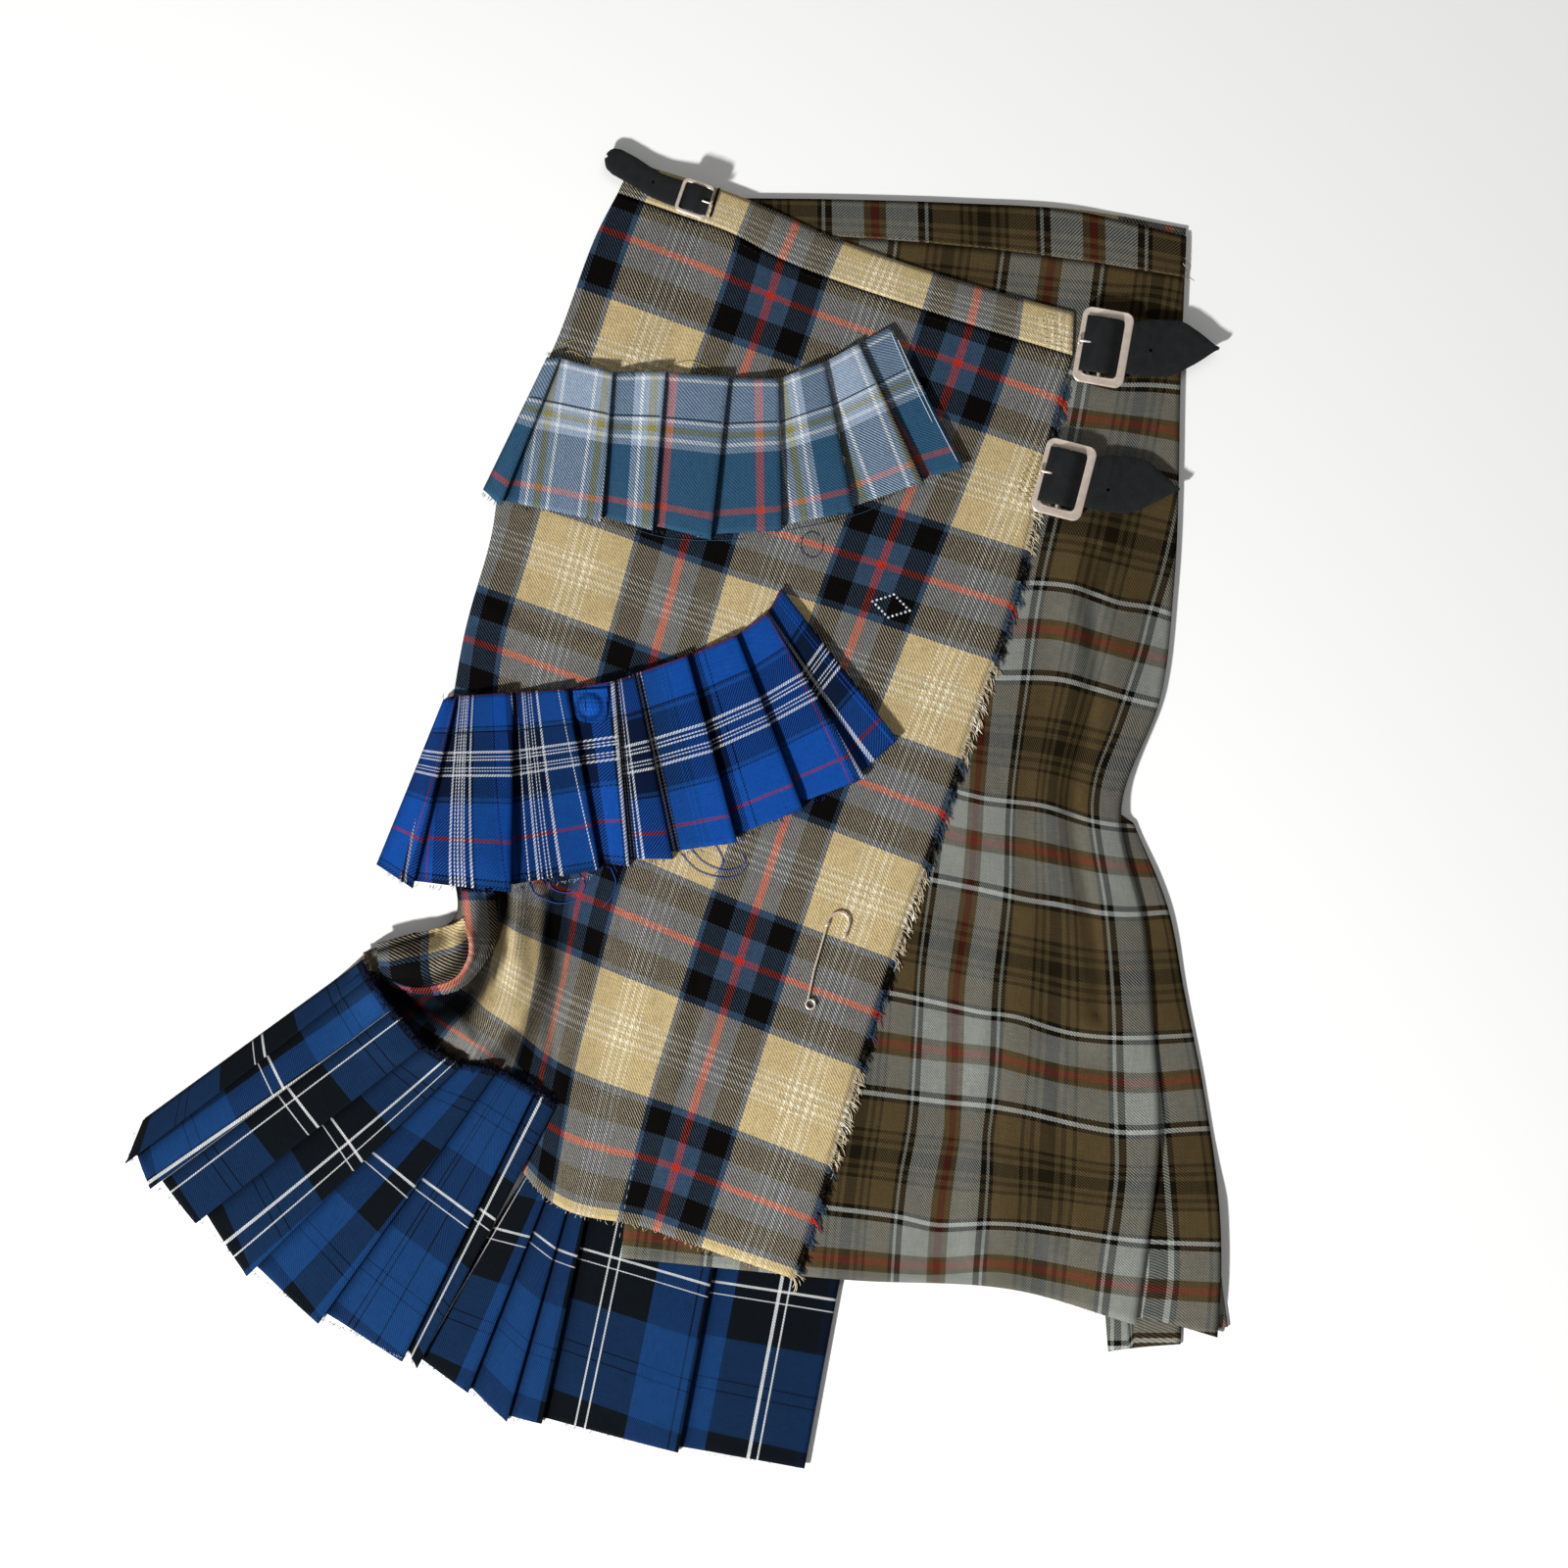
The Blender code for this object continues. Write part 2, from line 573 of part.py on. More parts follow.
def strap(name, spot, style):
    """A leather strap that rides over its buckle's centre bar. Returns the height it is held at."""
    turn = math.radians(spot.turn)
    ahead = np.array((math.cos(turn), math.sin(turn)))
    aside = np.array((-math.sin(turn), math.cos(turn)))
    rows = style.rows
    marks = [row.along for row in rows]
    stops = [marks[0]]
    for a, b in zip(marks[:-1], marks[1:]):
        stops += spread(a, b, STRAP_STEP)[1:]
    stops = np.array(stops)
    half = np.interp(stops, marks, [row.half_width for row in rows])
    lift = np.interp(stops, marks, [row.lift for row in rows]) * style.arch
    shift = np.interp(stops, marks, [row.aside for row in rows])
    middle = np.array((spot.x, spot.y)) + np.outer(stops, ahead) + np.outer(shift, aside)
    plan = np.stack([middle + np.outer(half * side, aside) for side in STRAP_SIDES], axis=1)

    level = PILE.clear_grid(plan).max(axis=1)
    held = np.abs(stops) <= style.held
    bed = level[held].max()
    level[held] = bed
    for i in range(1, len(stops)):
        level[i] = max(level[i], level[i - 1] - style.droop * (stops[i] - stops[i - 1]))
    for i in range(len(stops) - 2, -1, -1):
        level[i] = max(level[i], level[i + 1] - style.droop * (stops[i + 1] - stops[i]))
    height = (level + lift)[:, None] * np.ones(len(STRAP_SIDES))
    upper = np.dstack((plan, height + LEATHER)).reshape(-1, 3)
    lower = np.dstack((plan, height)).reshape(-1, 3)
    wall(name, upper, lower, grid_triangles(len(stops), len(STRAP_SIDES)), "leather")
    return bed


def rounded_loop(width, height, corner):
    """Corner arcs of a rounded rectangle, anticlockwise."""
    points = []
    for quarter, (sx, sy) in enumerate(((1, 1), (-1, 1), (-1, -1), (1, -1))):
        for k in range(CORNER_STEPS + 1):
            angle = math.pi / 2 * (quarter + k / CORNER_STEPS)
            points.append((sx * (width / 2 - corner) + corner * math.cos(angle),
                           sy * (height / 2 - corner) + corner * math.sin(angle)))
    return points


def buckle_frame(name, spot, frame, bed):
    """A rounded frame with a bar across its middle that the strap rides over."""
    inset = 2 * frame.bar
    inner_corner = max(frame.corner - frame.bar, INNER_CORNER)
    outer = rounded_loop(frame.width, frame.height, frame.corner)
    inner = rounded_loop(frame.width - inset, frame.height - inset, inner_corner)
    count = len(outer)
    turned = Matrix.Rotation(math.radians(spot.turn), 2)
    plan = np.array([tuple(turned @ Vector(p) + Vector((spot.x, spot.y))) for p in outer + inner])
    triangles = []
    for k in range(count):
        n = (k + 1) % count
        triangles += [(k, n, count + k), (n, count + n, count + k)]
    lower = np.column_stack((plan, np.full(2 * count, bed)))
    upper = np.column_stack((plan, np.full(2 * count, bed + frame.plate)))
    ring = wall(name, upper, lower, triangles, "nickel", lies=False)

    tall = frame.plate * (CENTRE_BAR_TO - CENTRE_BAR_FROM)
    middle = bed + frame.plate * (CENTRE_BAR_TO + CENTRE_BAR_FROM) / 2
    shape = bmesh.new()
    bmesh.ops.create_cube(shape, size=MM)
    size = Matrix.Diagonal((frame.centre_bar, frame.height - frame.bar, tall, 1.0))
    turned = Matrix.Rotation(math.radians(spot.turn), 4, "Z")
    shape.transform(Matrix.Translation(Vector((spot.x, spot.y, middle)) * MM) @ turned @ size)
    mesh = bpy.data.meshes.new(name + "_bar")
    shape.to_mesh(mesh)
    shape.free()
    bar = bpy.data.objects.new(name + "_bar", mesh)
    bpy.context.scene.collection.objects.link(bar)
    bar.hide_render = True
    bar.display_type = "WIRE"
    join = ring.modifiers.new("bar", "BOOLEAN")
    join.operation = "UNION"
    join.object = bar


def prong(name, spot, style, tongue, bed, frame_top):
    """A buckle's tongue: a slim tapered bar from the strap's hole onto the frame."""
    turned = Matrix.Rotation(math.radians(spot.turn), 3, "Z")
    marks = [row.along for row in style.rows]
    lift = np.interp(tongue.root, marks, [row.lift for row in style.rows]) * style.arch
    clear = tongue.thick / 2 + GAP
    start = Vector((tongue.root, 0, bed + LEATHER + lift + clear))
    end = Vector((tongue.tip, 0, frame_top + clear))
    shape = bmesh.new()
    rings = []
    for share, half in TONGUE_TAPER:
        middle = start.lerp(end, share)
        ring = []
        for k in range(TONGUE_SIDES):
            angle = math.tau * k / TONGUE_SIDES
            local = middle + Vector((0, math.cos(angle), math.sin(angle))) * half * tongue.thick
            ring.append(shape.verts.new((turned @ local + Vector((spot.x, spot.y, 0))) * MM))
        rings.append(ring)
    for a, b in zip(rings[:-1], rings[1:]):
        for k in range(TONGUE_SIDES):
            n = (k + 1) % TONGUE_SIDES
            shape.faces.new((a[k], a[n], b[n], b[k]))
    shape.faces.new(rings[0])
    shape.faces.new(list(reversed(rings[-1])))
    bmesh.ops.recalc_face_normals(shape, faces=shape.faces)
    mesh = bpy.data.meshes.new(name)
    shape.to_mesh(mesh)
    shape.free()
    place(name, mesh, "nickel")


def fasten(part, spot, style, frame, tongue):
    """A strap with its buckle over it and the buckle's tongue."""
    bed = strap("strap_" + part, spot, style)
    over = bed + LEATHER + GAP
    buckle_frame("buckle_" + part, spot, frame, over)
    prong("prong_" + part, spot, style, tongue, bed, over + frame.plate)


def kilt_pin():
    """The pin's wire: hooked head, straight arm and one turn of spring."""
    head = Vector(PIN_HEAD)
    coil = Vector(PIN_COIL)

    def turned(middle, radius, degrees):
        angle = math.radians(degrees)
        return middle + radius * Vector((math.cos(angle), math.sin(angle)))

    swept = np.linspace(0, PIN_COIL_SWEEP, PIN_COIL_STEPS + 1)
    coiled = [turned(coil, PIN_COIL_RADIUS, 180 + d) for d in swept]
    route = [turned(head, PIN_HEAD_RADIUS, d) for d in np.linspace(*PIN_HOOK, PIN_HOOK_STEPS + 1)]
    route += [route[-1].lerp(coiled[0], k / PIN_ARM_STEPS) for k in range(1, PIN_ARM_STEPS)]
    route += coiled
    height = max(PILE.level(x, y, PIN_REACH) for x, y in route) + PIN_WIRE / 2
    curve = bpy.data.curves.new("kilt_pin", "CURVE")
    curve.dimensions = "3D"
    curve.bevel_depth = PIN_WIRE / 2 * MM
    curve.bevel_resolution = 2
    curve.use_fill_caps = True
    spline = curve.splines.new("POLY")
    spline.points.add(len(route) - 1)
    for point, (x, y) in zip(spline.points, route):
        point.co = (x * MM, y * MM, height * MM, 1.0)
    curve.materials.append(finish("nickel"))
    piece = bpy.data.objects.new("kilt_pin", curve)
    bpy.context.scene.collection.objects.link(piece)


def sheet(name, sections, across):
    """Grid of plan points of a panel, cut as finely as its name asks."""
    rows, columns = FINENESS[name]
    return sheet_points(sections, across, spread(0, sections[-1].down, rows), spread(0, 1, columns))


def build():
    for thing in list(bpy.data.objects):
        bpy.data.objects.remove(thing)

    middle = (0.0, 0.5, 1.0)
    back = sheet("back_panel", BACK, middle)
    panel("back_panel", back, "weathered_check")
    band("back_waistband", BACK_BAND_TOP, back[0], "tan_check")
    PILE.settle()
    panel("back_pleat", sheet("back_pleat", BACK_PLEAT, middle), "weathered_check")
    PILE.settle()
    panel("side_return", sheet("side_return", SIDE_RETURN, middle), "weathered_check")
    right_rows = spread(0, 1, STRIP_ROWS["flounce_right"])
    pleated_strip("flounce_right", FLOUNCE_RIGHT, "dark_blue_check", right_rows)
    PILE.settle()
    panel("side_pleat", sheet("side_pleat", SIDE_PLEAT, middle), "weathered_check", passes=2)
    PILE.settle()
    front = sheet("front_panel", FRONT, FRONT_ACROSS)
    panel("front_panel", front, "weathered_check", passes=3)
    band("front_waistband", FRONT_BAND_TOP, front[0], "weathered_check")
    PILE.settle()

    plain_rows, fine_rows = APRON_ROWS
    fine_columns, plain_columns = APRON_COLUMNS
    hem = APRON[-1].down
    downs = spread(0, APRON_FINE_DOWN, plain_rows) + spread(APRON_FINE_DOWN, hem, fine_rows)[1:]
    columns = spread(0, APRON_FINE_ACROSS, fine_columns)
    columns += spread(APRON_FINE_ACROSS, 1, plain_columns)[1:]
    apron = sheet_points(APRON, APRON_ACROSS, downs, columns)
    panel("front_apron", apron, "tan_check", folds=APRON_FOLDS, passes=3)
    band("apron_waistband", APRON_BAND_TOP, apron[0], "tan_check")
    fringe("apron_fringe", apron[FRINGE_START:, -1], APRON_LOCKS, "tan_check")
    PILE.settle()

    seam = [(pleat.top_x, pleat.top_y) for pleat in FLOUNCE_LEFT]
    fringe("flounce_fringe", seam, FLOUNCE_LOCKS, "dark_blue_check", length=SEAM_FRAY)
    pleated_strip("flounce_left", FLOUNCE_LEFT, "dark_blue_check", FLOUNCE_ROWS)
    for name, pleats, look in (("ruffle_upper", RUFFLE_UPPER, "light_blue_check"),
                               ("ruffle_lower", RUFFLE_LOWER, "bright_blue_check")):
        pleated_strip(name, pleats, look, spread(0, 1, STRIP_ROWS[name]))
    PILE.settle()

    for fastening in FASTENINGS:
        fasten(*fastening)
    kilt_pin()


build()
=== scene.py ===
import json
import math

import bpy
import numpy as np
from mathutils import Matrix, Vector
from mathutils.bvhtree import BVHTree

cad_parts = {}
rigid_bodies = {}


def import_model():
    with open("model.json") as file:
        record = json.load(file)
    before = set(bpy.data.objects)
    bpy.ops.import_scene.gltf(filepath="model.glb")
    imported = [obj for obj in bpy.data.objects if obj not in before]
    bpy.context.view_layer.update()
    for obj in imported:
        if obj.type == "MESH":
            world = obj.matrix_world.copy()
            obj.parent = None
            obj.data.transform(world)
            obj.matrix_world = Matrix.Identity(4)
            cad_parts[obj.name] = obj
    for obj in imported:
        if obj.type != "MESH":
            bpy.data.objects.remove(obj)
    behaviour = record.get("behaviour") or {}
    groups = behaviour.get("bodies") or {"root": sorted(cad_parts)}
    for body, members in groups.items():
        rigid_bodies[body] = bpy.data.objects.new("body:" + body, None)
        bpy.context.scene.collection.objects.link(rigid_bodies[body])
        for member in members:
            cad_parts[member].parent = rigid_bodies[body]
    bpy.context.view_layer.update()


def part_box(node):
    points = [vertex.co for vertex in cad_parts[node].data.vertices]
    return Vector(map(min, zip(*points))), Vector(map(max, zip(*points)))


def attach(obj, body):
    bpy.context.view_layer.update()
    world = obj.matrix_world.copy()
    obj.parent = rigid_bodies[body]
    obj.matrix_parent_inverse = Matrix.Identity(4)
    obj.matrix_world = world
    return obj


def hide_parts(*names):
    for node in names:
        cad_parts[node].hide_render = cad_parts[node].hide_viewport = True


# Plan measures are millimetres: x to the right, y up towards the waist, z off the floor.
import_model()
mm = 0.001
rng = np.random.default_rng(7)


def tone(code):
    # a colour as it is seen, turned into the shader's own light values
    parts = [int(code[k:k + 2], 16) / 255 for k in (0, 2, 4)]
    return tuple(c / 12.92 if c < 0.04045 else ((c + 0.055) / 1.055) ** 2.4 for c in parts) + (1.0,)


# camera, light and floor

studio = {
    "middle": (57.5, 13.5),     # what the camera looks down on
    "cameraHeight": 2040.0,
    "lens": 85.0,
    "floorWidth": 5000.0,
    "floor": tone("F4F4F2"),
    "keyPower": 106.0,
    "keyFrom": (-1300.0, -1500.0, 1350.0),
    "keyWidth": 260.0,
    "fillPower": 8.0,
    "fillFrom": (700.0, 1500.0, 1900.0),
    "fillWidth": 1600.0,
    "sky": 0.17,
}


def addLight(name, spot, width, power):
    lamp = bpy.data.lights.new(name, "AREA")
    lamp.shape = "DISK"
    lamp.size = width * mm
    lamp.energy = power
    holder = bpy.data.objects.new(name, lamp)
    holder.location = Vector(spot) * mm
    aim = Vector((*studio["middle"], 0)) * mm - holder.location
    holder.rotation_euler = aim.to_track_quat("-Z", "Y").to_euler()
    bpy.context.scene.collection.objects.link(holder)


def setStudio():
    eye = bpy.data.cameras.new("camera")
    eye.lens = studio["lens"]
    eye.sensor_width = 36.0
    eye.clip_end = 20.0
    holder = bpy.data.objects.new("camera", eye)
    holder.location = Vector((*studio["middle"], studio["cameraHeight"])) * mm
    bpy.context.scene.collection.objects.link(holder)
    bpy.context.scene.camera = holder
    addLight("key", studio["keyFrom"], studio["keyWidth"], studio["keyPower"])
    addLight("fill", studio["fillFrom"], studio["fillWidth"], studio["fillPower"])
    world = bpy.data.worlds.new("sky")
    world.use_nodes = True
    world.node_tree.nodes["Background"].inputs[0].default_value = (1, 1, 1, 1)
    world.node_tree.nodes["Background"].inputs[1].default_value = studio["sky"]
    bpy.context.scene.world = world
    bpy.context.scene.view_settings.view_transform = "Standard"
    bpy.ops.mesh.primitive_plane_add(size=studio["floorWidth"] * mm, location=(0, 0, -0.0002))
    floor = bpy.context.object
    floor.name = "floor"
    paint = bpy.data.materials.new("floor_paint")
    paint.use_nodes = True
    paint.node_tree.nodes["Principled BSDF"].inputs["Base Color"].default_value = studio["floor"]
    paint.node_tree.nodes["Principled BSDF"].inputs["Roughness"].default_value = 0.9
    floor.data.materials.append(paint)


bpy.ops.object.select_all(action="DESELECT")
setStudio()
print("camera, light and floor are set")


# shader maths

class Wire:
    # a socket that is used like a number
    def __init__(self, shader, socket):
        self.shader = shader
        self.socket = socket

    def maths(self, operation, *values):
        slots = {k: value for k, value in enumerate(values)}
        return self.shader.add("ShaderNodeMath", {"operation": operation}, slots)

    def __add__(self, other): return self.maths("ADD", self, other)
    def __radd__(self, other): return self.maths("ADD", other, self)
    def __sub__(self, other): return self.maths("SUBTRACT", self, other)
    def __rsub__(self, other): return self.maths("SUBTRACT", other, self)
    def __mul__(self, other): return self.maths("MULTIPLY", self, other)
    def __rmul__(self, other): return self.maths("MULTIPLY", other, self)
    def __truediv__(self, other): return self.maths("DIVIDE", self, other)
    def __pow__(self, other): return self.maths("POWER", self, other)
    def __gt__(self, other): return self.maths("GREATER_THAN", self, other)
    def __lt__(self, other): return self.maths("LESS_THAN", self, other)
    def floor(self): return self.maths("FLOOR", self)
    def fract(self): return self.maths("FRACT", self)
    def sine(self): return self.maths("SINE", self)
    def mirrored(self, half): return self.maths("PINGPONG", self, half)
    def least(self, other): return self.maths("MINIMUM", self, other)
    def most(self, other): return self.maths("MAXIMUM", self, other)

    def between(self, low, high):
        # 0 at low, 1 at high, straight between and level outside
        return self.shader.add("ShaderNodeMapRange", {"clamp": True}, {0: self, 1: low, 2: high, 3: 0.0, 4: 1.0})


class Shader:
    # one material and the nodes in it
    rampRoom = 30

    def __init__(self, name, roughness, metallic=0.0, sheen=0.0, coat=0.0, gloss=0.5):
        self.material = bpy.data.materials.new(name)
        self.material.use_nodes = True
        self.tree = self.material.node_tree
        self.surface = self.tree.nodes["Principled BSDF"]
        self.surface.inputs["Roughness"].default_value = roughness
        self.surface.inputs["Metallic"].default_value = metallic
        self.surface.inputs["Sheen Weight"].default_value = sheen
        self.surface.inputs["Sheen Roughness"].default_value = 0.5
        self.surface.inputs["Coat Weight"].default_value = coat
        self.surface.inputs["Specular IOR Level"].default_value = gloss

    def add(self, kind, settings, sockets, output=0):
        # one node: its settings first, then the values or links of its sockets
        node = self.tree.nodes.new(kind)
        for name, value in settings.items():
            if name == "stops":
                self.setStops(node.color_ramp, value)
            else:
                setattr(node, name, value)
        for key, value in sockets.items():
            if isinstance(value, Wire):
                self.tree.links.new(value.socket, node.inputs[key])
            else:
                node.inputs[key].default_value = value
        return Wire(self, node.outputs[output])

    def setStops(self, ramp, stops):
        ramp.interpolation = "CONSTANT"
        while len(ramp.elements) < len(stops):
            ramp.elements.new(1.0)
        for element, (spot, colour) in zip(ramp.elements, stops):
            element.position = spot
            element.color = colour

    def cloth(self):
        # the cloth's own millimetres: across its warps, and along them
        place = self.add("ShaderNodeUVMap", {"uv_map": "cloth"}, {})
        split = self.add("ShaderNodeSeparateXYZ", {}, {0: place})
        along = Wire(self, split.socket.node.outputs[1])
        return split, along

    def here(self):
        return self.add("ShaderNodeTexCoord", {}, {}, "Object")

    def vector(self, x, y, z=0.0):
        return self.add("ShaderNodeCombineXYZ", {}, {0: x, 1: y, 2: z})

    def noise(self, place, scale, detail=2.0, roughness=0.5):
        return self.add("ShaderNodeTexNoise", {}, {"Vector": place, "Scale": scale, "Detail": detail,
                                                  "Roughness": roughness})

    def grey(self, colour):
        return self.add("ShaderNodeRGBToBW", {}, {0: colour})

    def brightness(self, colour):
        return self.grey(colour) ** 0.45

    def blend(self, share, first, second, kind="MIX"):
        # first where the share is 0, second where it is 1
        return self.add("ShaderNodeMix", {"data_type": "RGBA", "blend_type": kind},
                        {0: share, 6: first, 7: second}, 2)

    def shade(self, colour, amount):
        # the colour made lighter or darker by an amount about 1
        grey = self.add("ShaderNodeCombineXYZ", {}, {0: amount, 1: amount, 2: amount})
        return self.add("ShaderNodeVectorMath", {"operation": "MULTIPLY"}, {0: colour, 1: grey})

    def stripes(self, across, runs):
        # runs are (where the stripe ends, its colour), in order
        start, made = 0.0, None
        for first in range(0, len(runs), self.rampRoom):
            part = runs[first:first + self.rampRoom]
            span = part[-1][0] - start
            begins = [start] + [end for end, colour in part[:-1]]
            stops = [((begin - start) / span, colour) for begin, (end, colour) in zip(begins, part)]
            ramp = self.add("ShaderNodeValToRGB", {"stops": stops}, {0: (across - start) / span})
            made = ramp if made is None else self.blend(across > start, made, ramp)
            start = part[-1][0]
        return made

    def finish(self, colour, height=None, depth=0.1, strength=1.0, roughness=None):
        links = self.tree.links
        if isinstance(colour, Wire):
            links.new(colour.socket, self.surface.inputs["Base Color"])
        else:
            self.surface.inputs["Base Color"].default_value = colour
        if roughness is not None:
            links.new(roughness.socket, self.surface.inputs["Roughness"])
        if height is not None:
            bump = self.add("ShaderNodeBump", {}, {"Strength": strength, "Distance": depth * mm, "Height": height})
            links.new(bump.socket, self.surface.inputs["Normal"])
        return self.material


def twill(shader, u, v, yarn, lean, share):
    # 2/2 twill: where the warp lies on top, and how far each yarn stands up
    across, along = u / yarn, v / yarn
    warp, weft = across.floor(), along.floor()
    warpRun = ((warp * lean + along) / 4).fract()
    weftRun = ((across * lean + weft) / 4).fract()
    onTop = warpRun < share
    warpArch = (warpRun / share * math.pi).sine().most(0) * (1 - (across.fract() * 2 - 1) ** 2)
    weftArch = ((weftRun - share) / (1 - share) * math.pi).sine().most(0) * (1 - (along.fract() * 2 - 1) ** 2)
    return onTop, onTop * warpArch + (1 - onTop) * weftArch


def wovenCloth(name, warpColour, weftColour, yarn=0.5, lean=-1, depth=0.3, grain=0.7, fade=0.12,
               gain=1.05, nap=0.01, sink=0.22, dull=0.5, slub=0.4, floats=(0.8, 0.88, 0.25), merge=0.25, threads=False):
    # a tartan: warpColour and weftColour turn the cloth's own millimetres into a colour
    shader = Shader(name, 0.95, sheen=nap, gloss=0.02)
    u, v = shader.cloth()
    warp = warpColour(shader, u, v)
    weft = weftColour(shader, u, v)
    contrast = shader.brightness(warp) - shader.brightness(weft)
    lighter = contrast.between(-0.3, 0.3)
    share = 0.5 + sink - lighter * (2 * sink)        # the paler yarn sinks between the darker ones
    low, high, rise = floats                         # but the palest lines float
    share = share + (shader.brightness(warp).between(low, high) - shader.brightness(weft).between(low, high)) * rise
    onTop, arch = twill(shader, u, v, yarn, lean, share)
    seen = onTop * (1 - merge) + share * merge       # fuzz softens the change from yarn to yarn
    colour = weft if threads else shader.blend(seen, weft, warp)
    if dull:        # a pale yarn looks greyer among dark ones
        colour = shader.blend(contrast.maths("ABSOLUTE", contrast).least(0.5) * (2 * dull), colour, shader.grey(colour))
    fibre = shader.noise(shader.vector(u, v), 2.2, 3.0, 0.7)
    streak = onTop * shader.noise(shader.vector(u / yarn, v * 0.05), 1.0) \
        + (1 - onTop) * shader.noise(shader.vector(u * 0.05, v / yarn), 1.0)
    thick = onTop * shader.noise(shader.vector(u * 0.9, v * 0.12), 1.0, 2.0) \
        + (1 - onTop) * shader.noise(shader.vector(u * 0.12, v * 0.9), 1.0, 2.0)
    patch = shader.noise(shader.vector(u, v), 0.03, 3.0)
    # painted light and shade of the weave: each float's crown lighter and the gaps between yarns darker, as strong as
    # grain
    light = gain * (1 - grain / 2 + arch * grain) * (0.8 + fibre * 0.4) * (0.9 + streak * 0.2)
    light = light * (1 - slub / 2 + thick.between(0.25, 0.75) * slub)
    light = light * (1 - fade + patch * 2 * fade)
    hollow = shader.add("ShaderNodeAttribute", {"attribute_name": "hollow"}, {}, "Fac")
    light = light * (1 - hollow)                     # painted shade: the hollow attribute darkens the colour, as little light reaches down into the folds
    return shader.finish(shader.shade(colour, light), arch + fibre * 0.35, depth)


def striped(runs, axis, half=None, start=0.0, scale=1.0):
    # stripes across the warps (axis 0) or down them (axis 1), which run back where the check turns round
    def colour(shader, *places):
        place = places[axis]
        if start:
            place = place - start
        if scale != 1.0:
            place = place / scale
        return shader.stripes(place.mirrored(half) if half else place, runs)
    return colour


# cloth sheets

def smooth(keys, values, at):
    # cubic through the values at the keys, as the solids' sections are joined
    keys = np.asarray(keys, float)
    values = np.asarray(values, float)
    at = np.asarray(at, float)
    slopes = np.gradient(values, keys, axis=0)
    k = np.clip(np.searchsorted(keys, at, side="right") - 1, 0, len(keys) - 2)
    shape = (-1,) + (1,) * (values.ndim - 1)
    span = (keys[k + 1] - keys[k]).reshape(shape)
    s = (at - keys[k]).reshape(shape) / span
    return (values[k] * (2 * s**3 - 3 * s**2 + 1) + span * slopes[k] * (s**3 - 2 * s**2 + s)
            + values[k + 1] * (3 * s**2 - 2 * s**3) + span * slopes[k + 1] * (s**3 - s**2))


def sectionPlan(sections, across, downs, shares):
    # grid of plan points from (down, points of one section across the cloth)
    table = smooth([down for down, points in sections], [points for down, points in sections], downs)
    return smooth(across, table.transpose(1, 0, 2), shares).transpose(1, 0, 2)


def stopsBetween(low, high, step):
    return np.linspace(low, high, max(1, math.ceil((high - low) / step - 1e-6)) + 1)


def nodeTree(name):
    mesh = bpy.data.objects[name].data
    points = [tuple(v.co / mm) for v in mesh.vertices]
    return BVHTree.FromPolygons(points, [tuple(p.vertices) for p in mesh.polygons])


plumb = {
    "from": 100.0,       # height above everything
    "aside": 10.0,       # height from which the nearest side is looked for
    "past": 1.02,        # how far the second line goes past that side, as a share
}


def dropOn(tree, x, y):
    # where a plumb line at a plan point first meets the tree
    return tree.ray_cast(Vector((x, y, plumb["from"])), Vector((0, 0, -1)))[0]


def topOf(tree, plan):
    # height of a solid's top under each plan point, or of its nearest side where the point is beyond it
    heights = np.empty(plan.shape[:-1])
    for spot in np.ndindex(heights.shape):
        x, y = plan[spot]
        hit = dropOn(tree, x, y)
        if hit is None:
            side = tree.find_nearest(Vector((x, y, plumb["aside"])))[0]
            hit = dropOn(tree, x + (side.x - x) * plumb["past"], y + (side.y - y) * plumb["past"]) or side
        heights[spot] = hit.z
    return heights


def softened(height, passes):
    for _ in range(passes):
        padded = np.pad(height, 1, mode="edge")
        mean = (padded[:-2, 1:-1] + padded[2:, 1:-1] + padded[1:-1, :-2] + padded[1:-1, 2:]) / 4
        height = (height + mean) / 2
    return height


def choose(*pieces):
    # these alone are selected, and the first is active
    bpy.ops.object.select_all(action="DESELECT")
    for piece in pieces:
        piece.select_set(True)
    bpy.context.view_layer.objects.active = pieces[0]


def bakePlace():
    # the chosen piece's place, turn and scale go into its mesh
    bpy.ops.object.transform_apply(location=True, rotation=True, scale=True)


def join(*pieces):
    # the others' meshes go into the first
    choose(*pieces)
    bpy.ops.object.join()


def apply(piece, kind, **settings):
    # one modifier, put on and applied
    choose(piece)
    modifier = piece.modifiers.new(kind.lower(), kind)
    for name, value in settings.items():
        setattr(modifier, name, value)
    bpy.ops.object.modifier_apply(modifier=modifier.name)
    piece.select_set(False)


def addMesh(name, points, faces, material, flat=None):
    # points and the cloth's own places are millimetres
    mesh = bpy.data.meshes.new(name)
    mesh.from_pydata((np.asarray(points, float) * mm).tolist(), [], faces)
    if flat is not None:
        layer = mesh.uv_layers.new(name="cloth")
        corners = np.asarray(flat, float)[[corner for face in faces for corner in face]]
        layer.data.foreach_set("uv", corners.ravel())
    mesh.update()
    mesh.shade_smooth()
    mesh.materials.append(material)
    piece = bpy.data.objects.new(name, mesh)
    bpy.context.scene.collection.objects.link(piece)
    return piece


def gridFaces(rows, columns):
    a = (np.arange(rows - 1)[:, None] * columns + np.arange(columns - 1)).reshape(-1, 1)
    return [tuple(face) for face in (a + [0, columns, columns + 1, 1]).tolist()]


def hollowOf(height, passes=60, scale=6.0, most=0.7):
    # how deep each place lies below the cloth around it, as the darkness of painted shade there
    return np.clip((softened(height, passes) - height) / scale, 0, 1) ** 0.8 * most


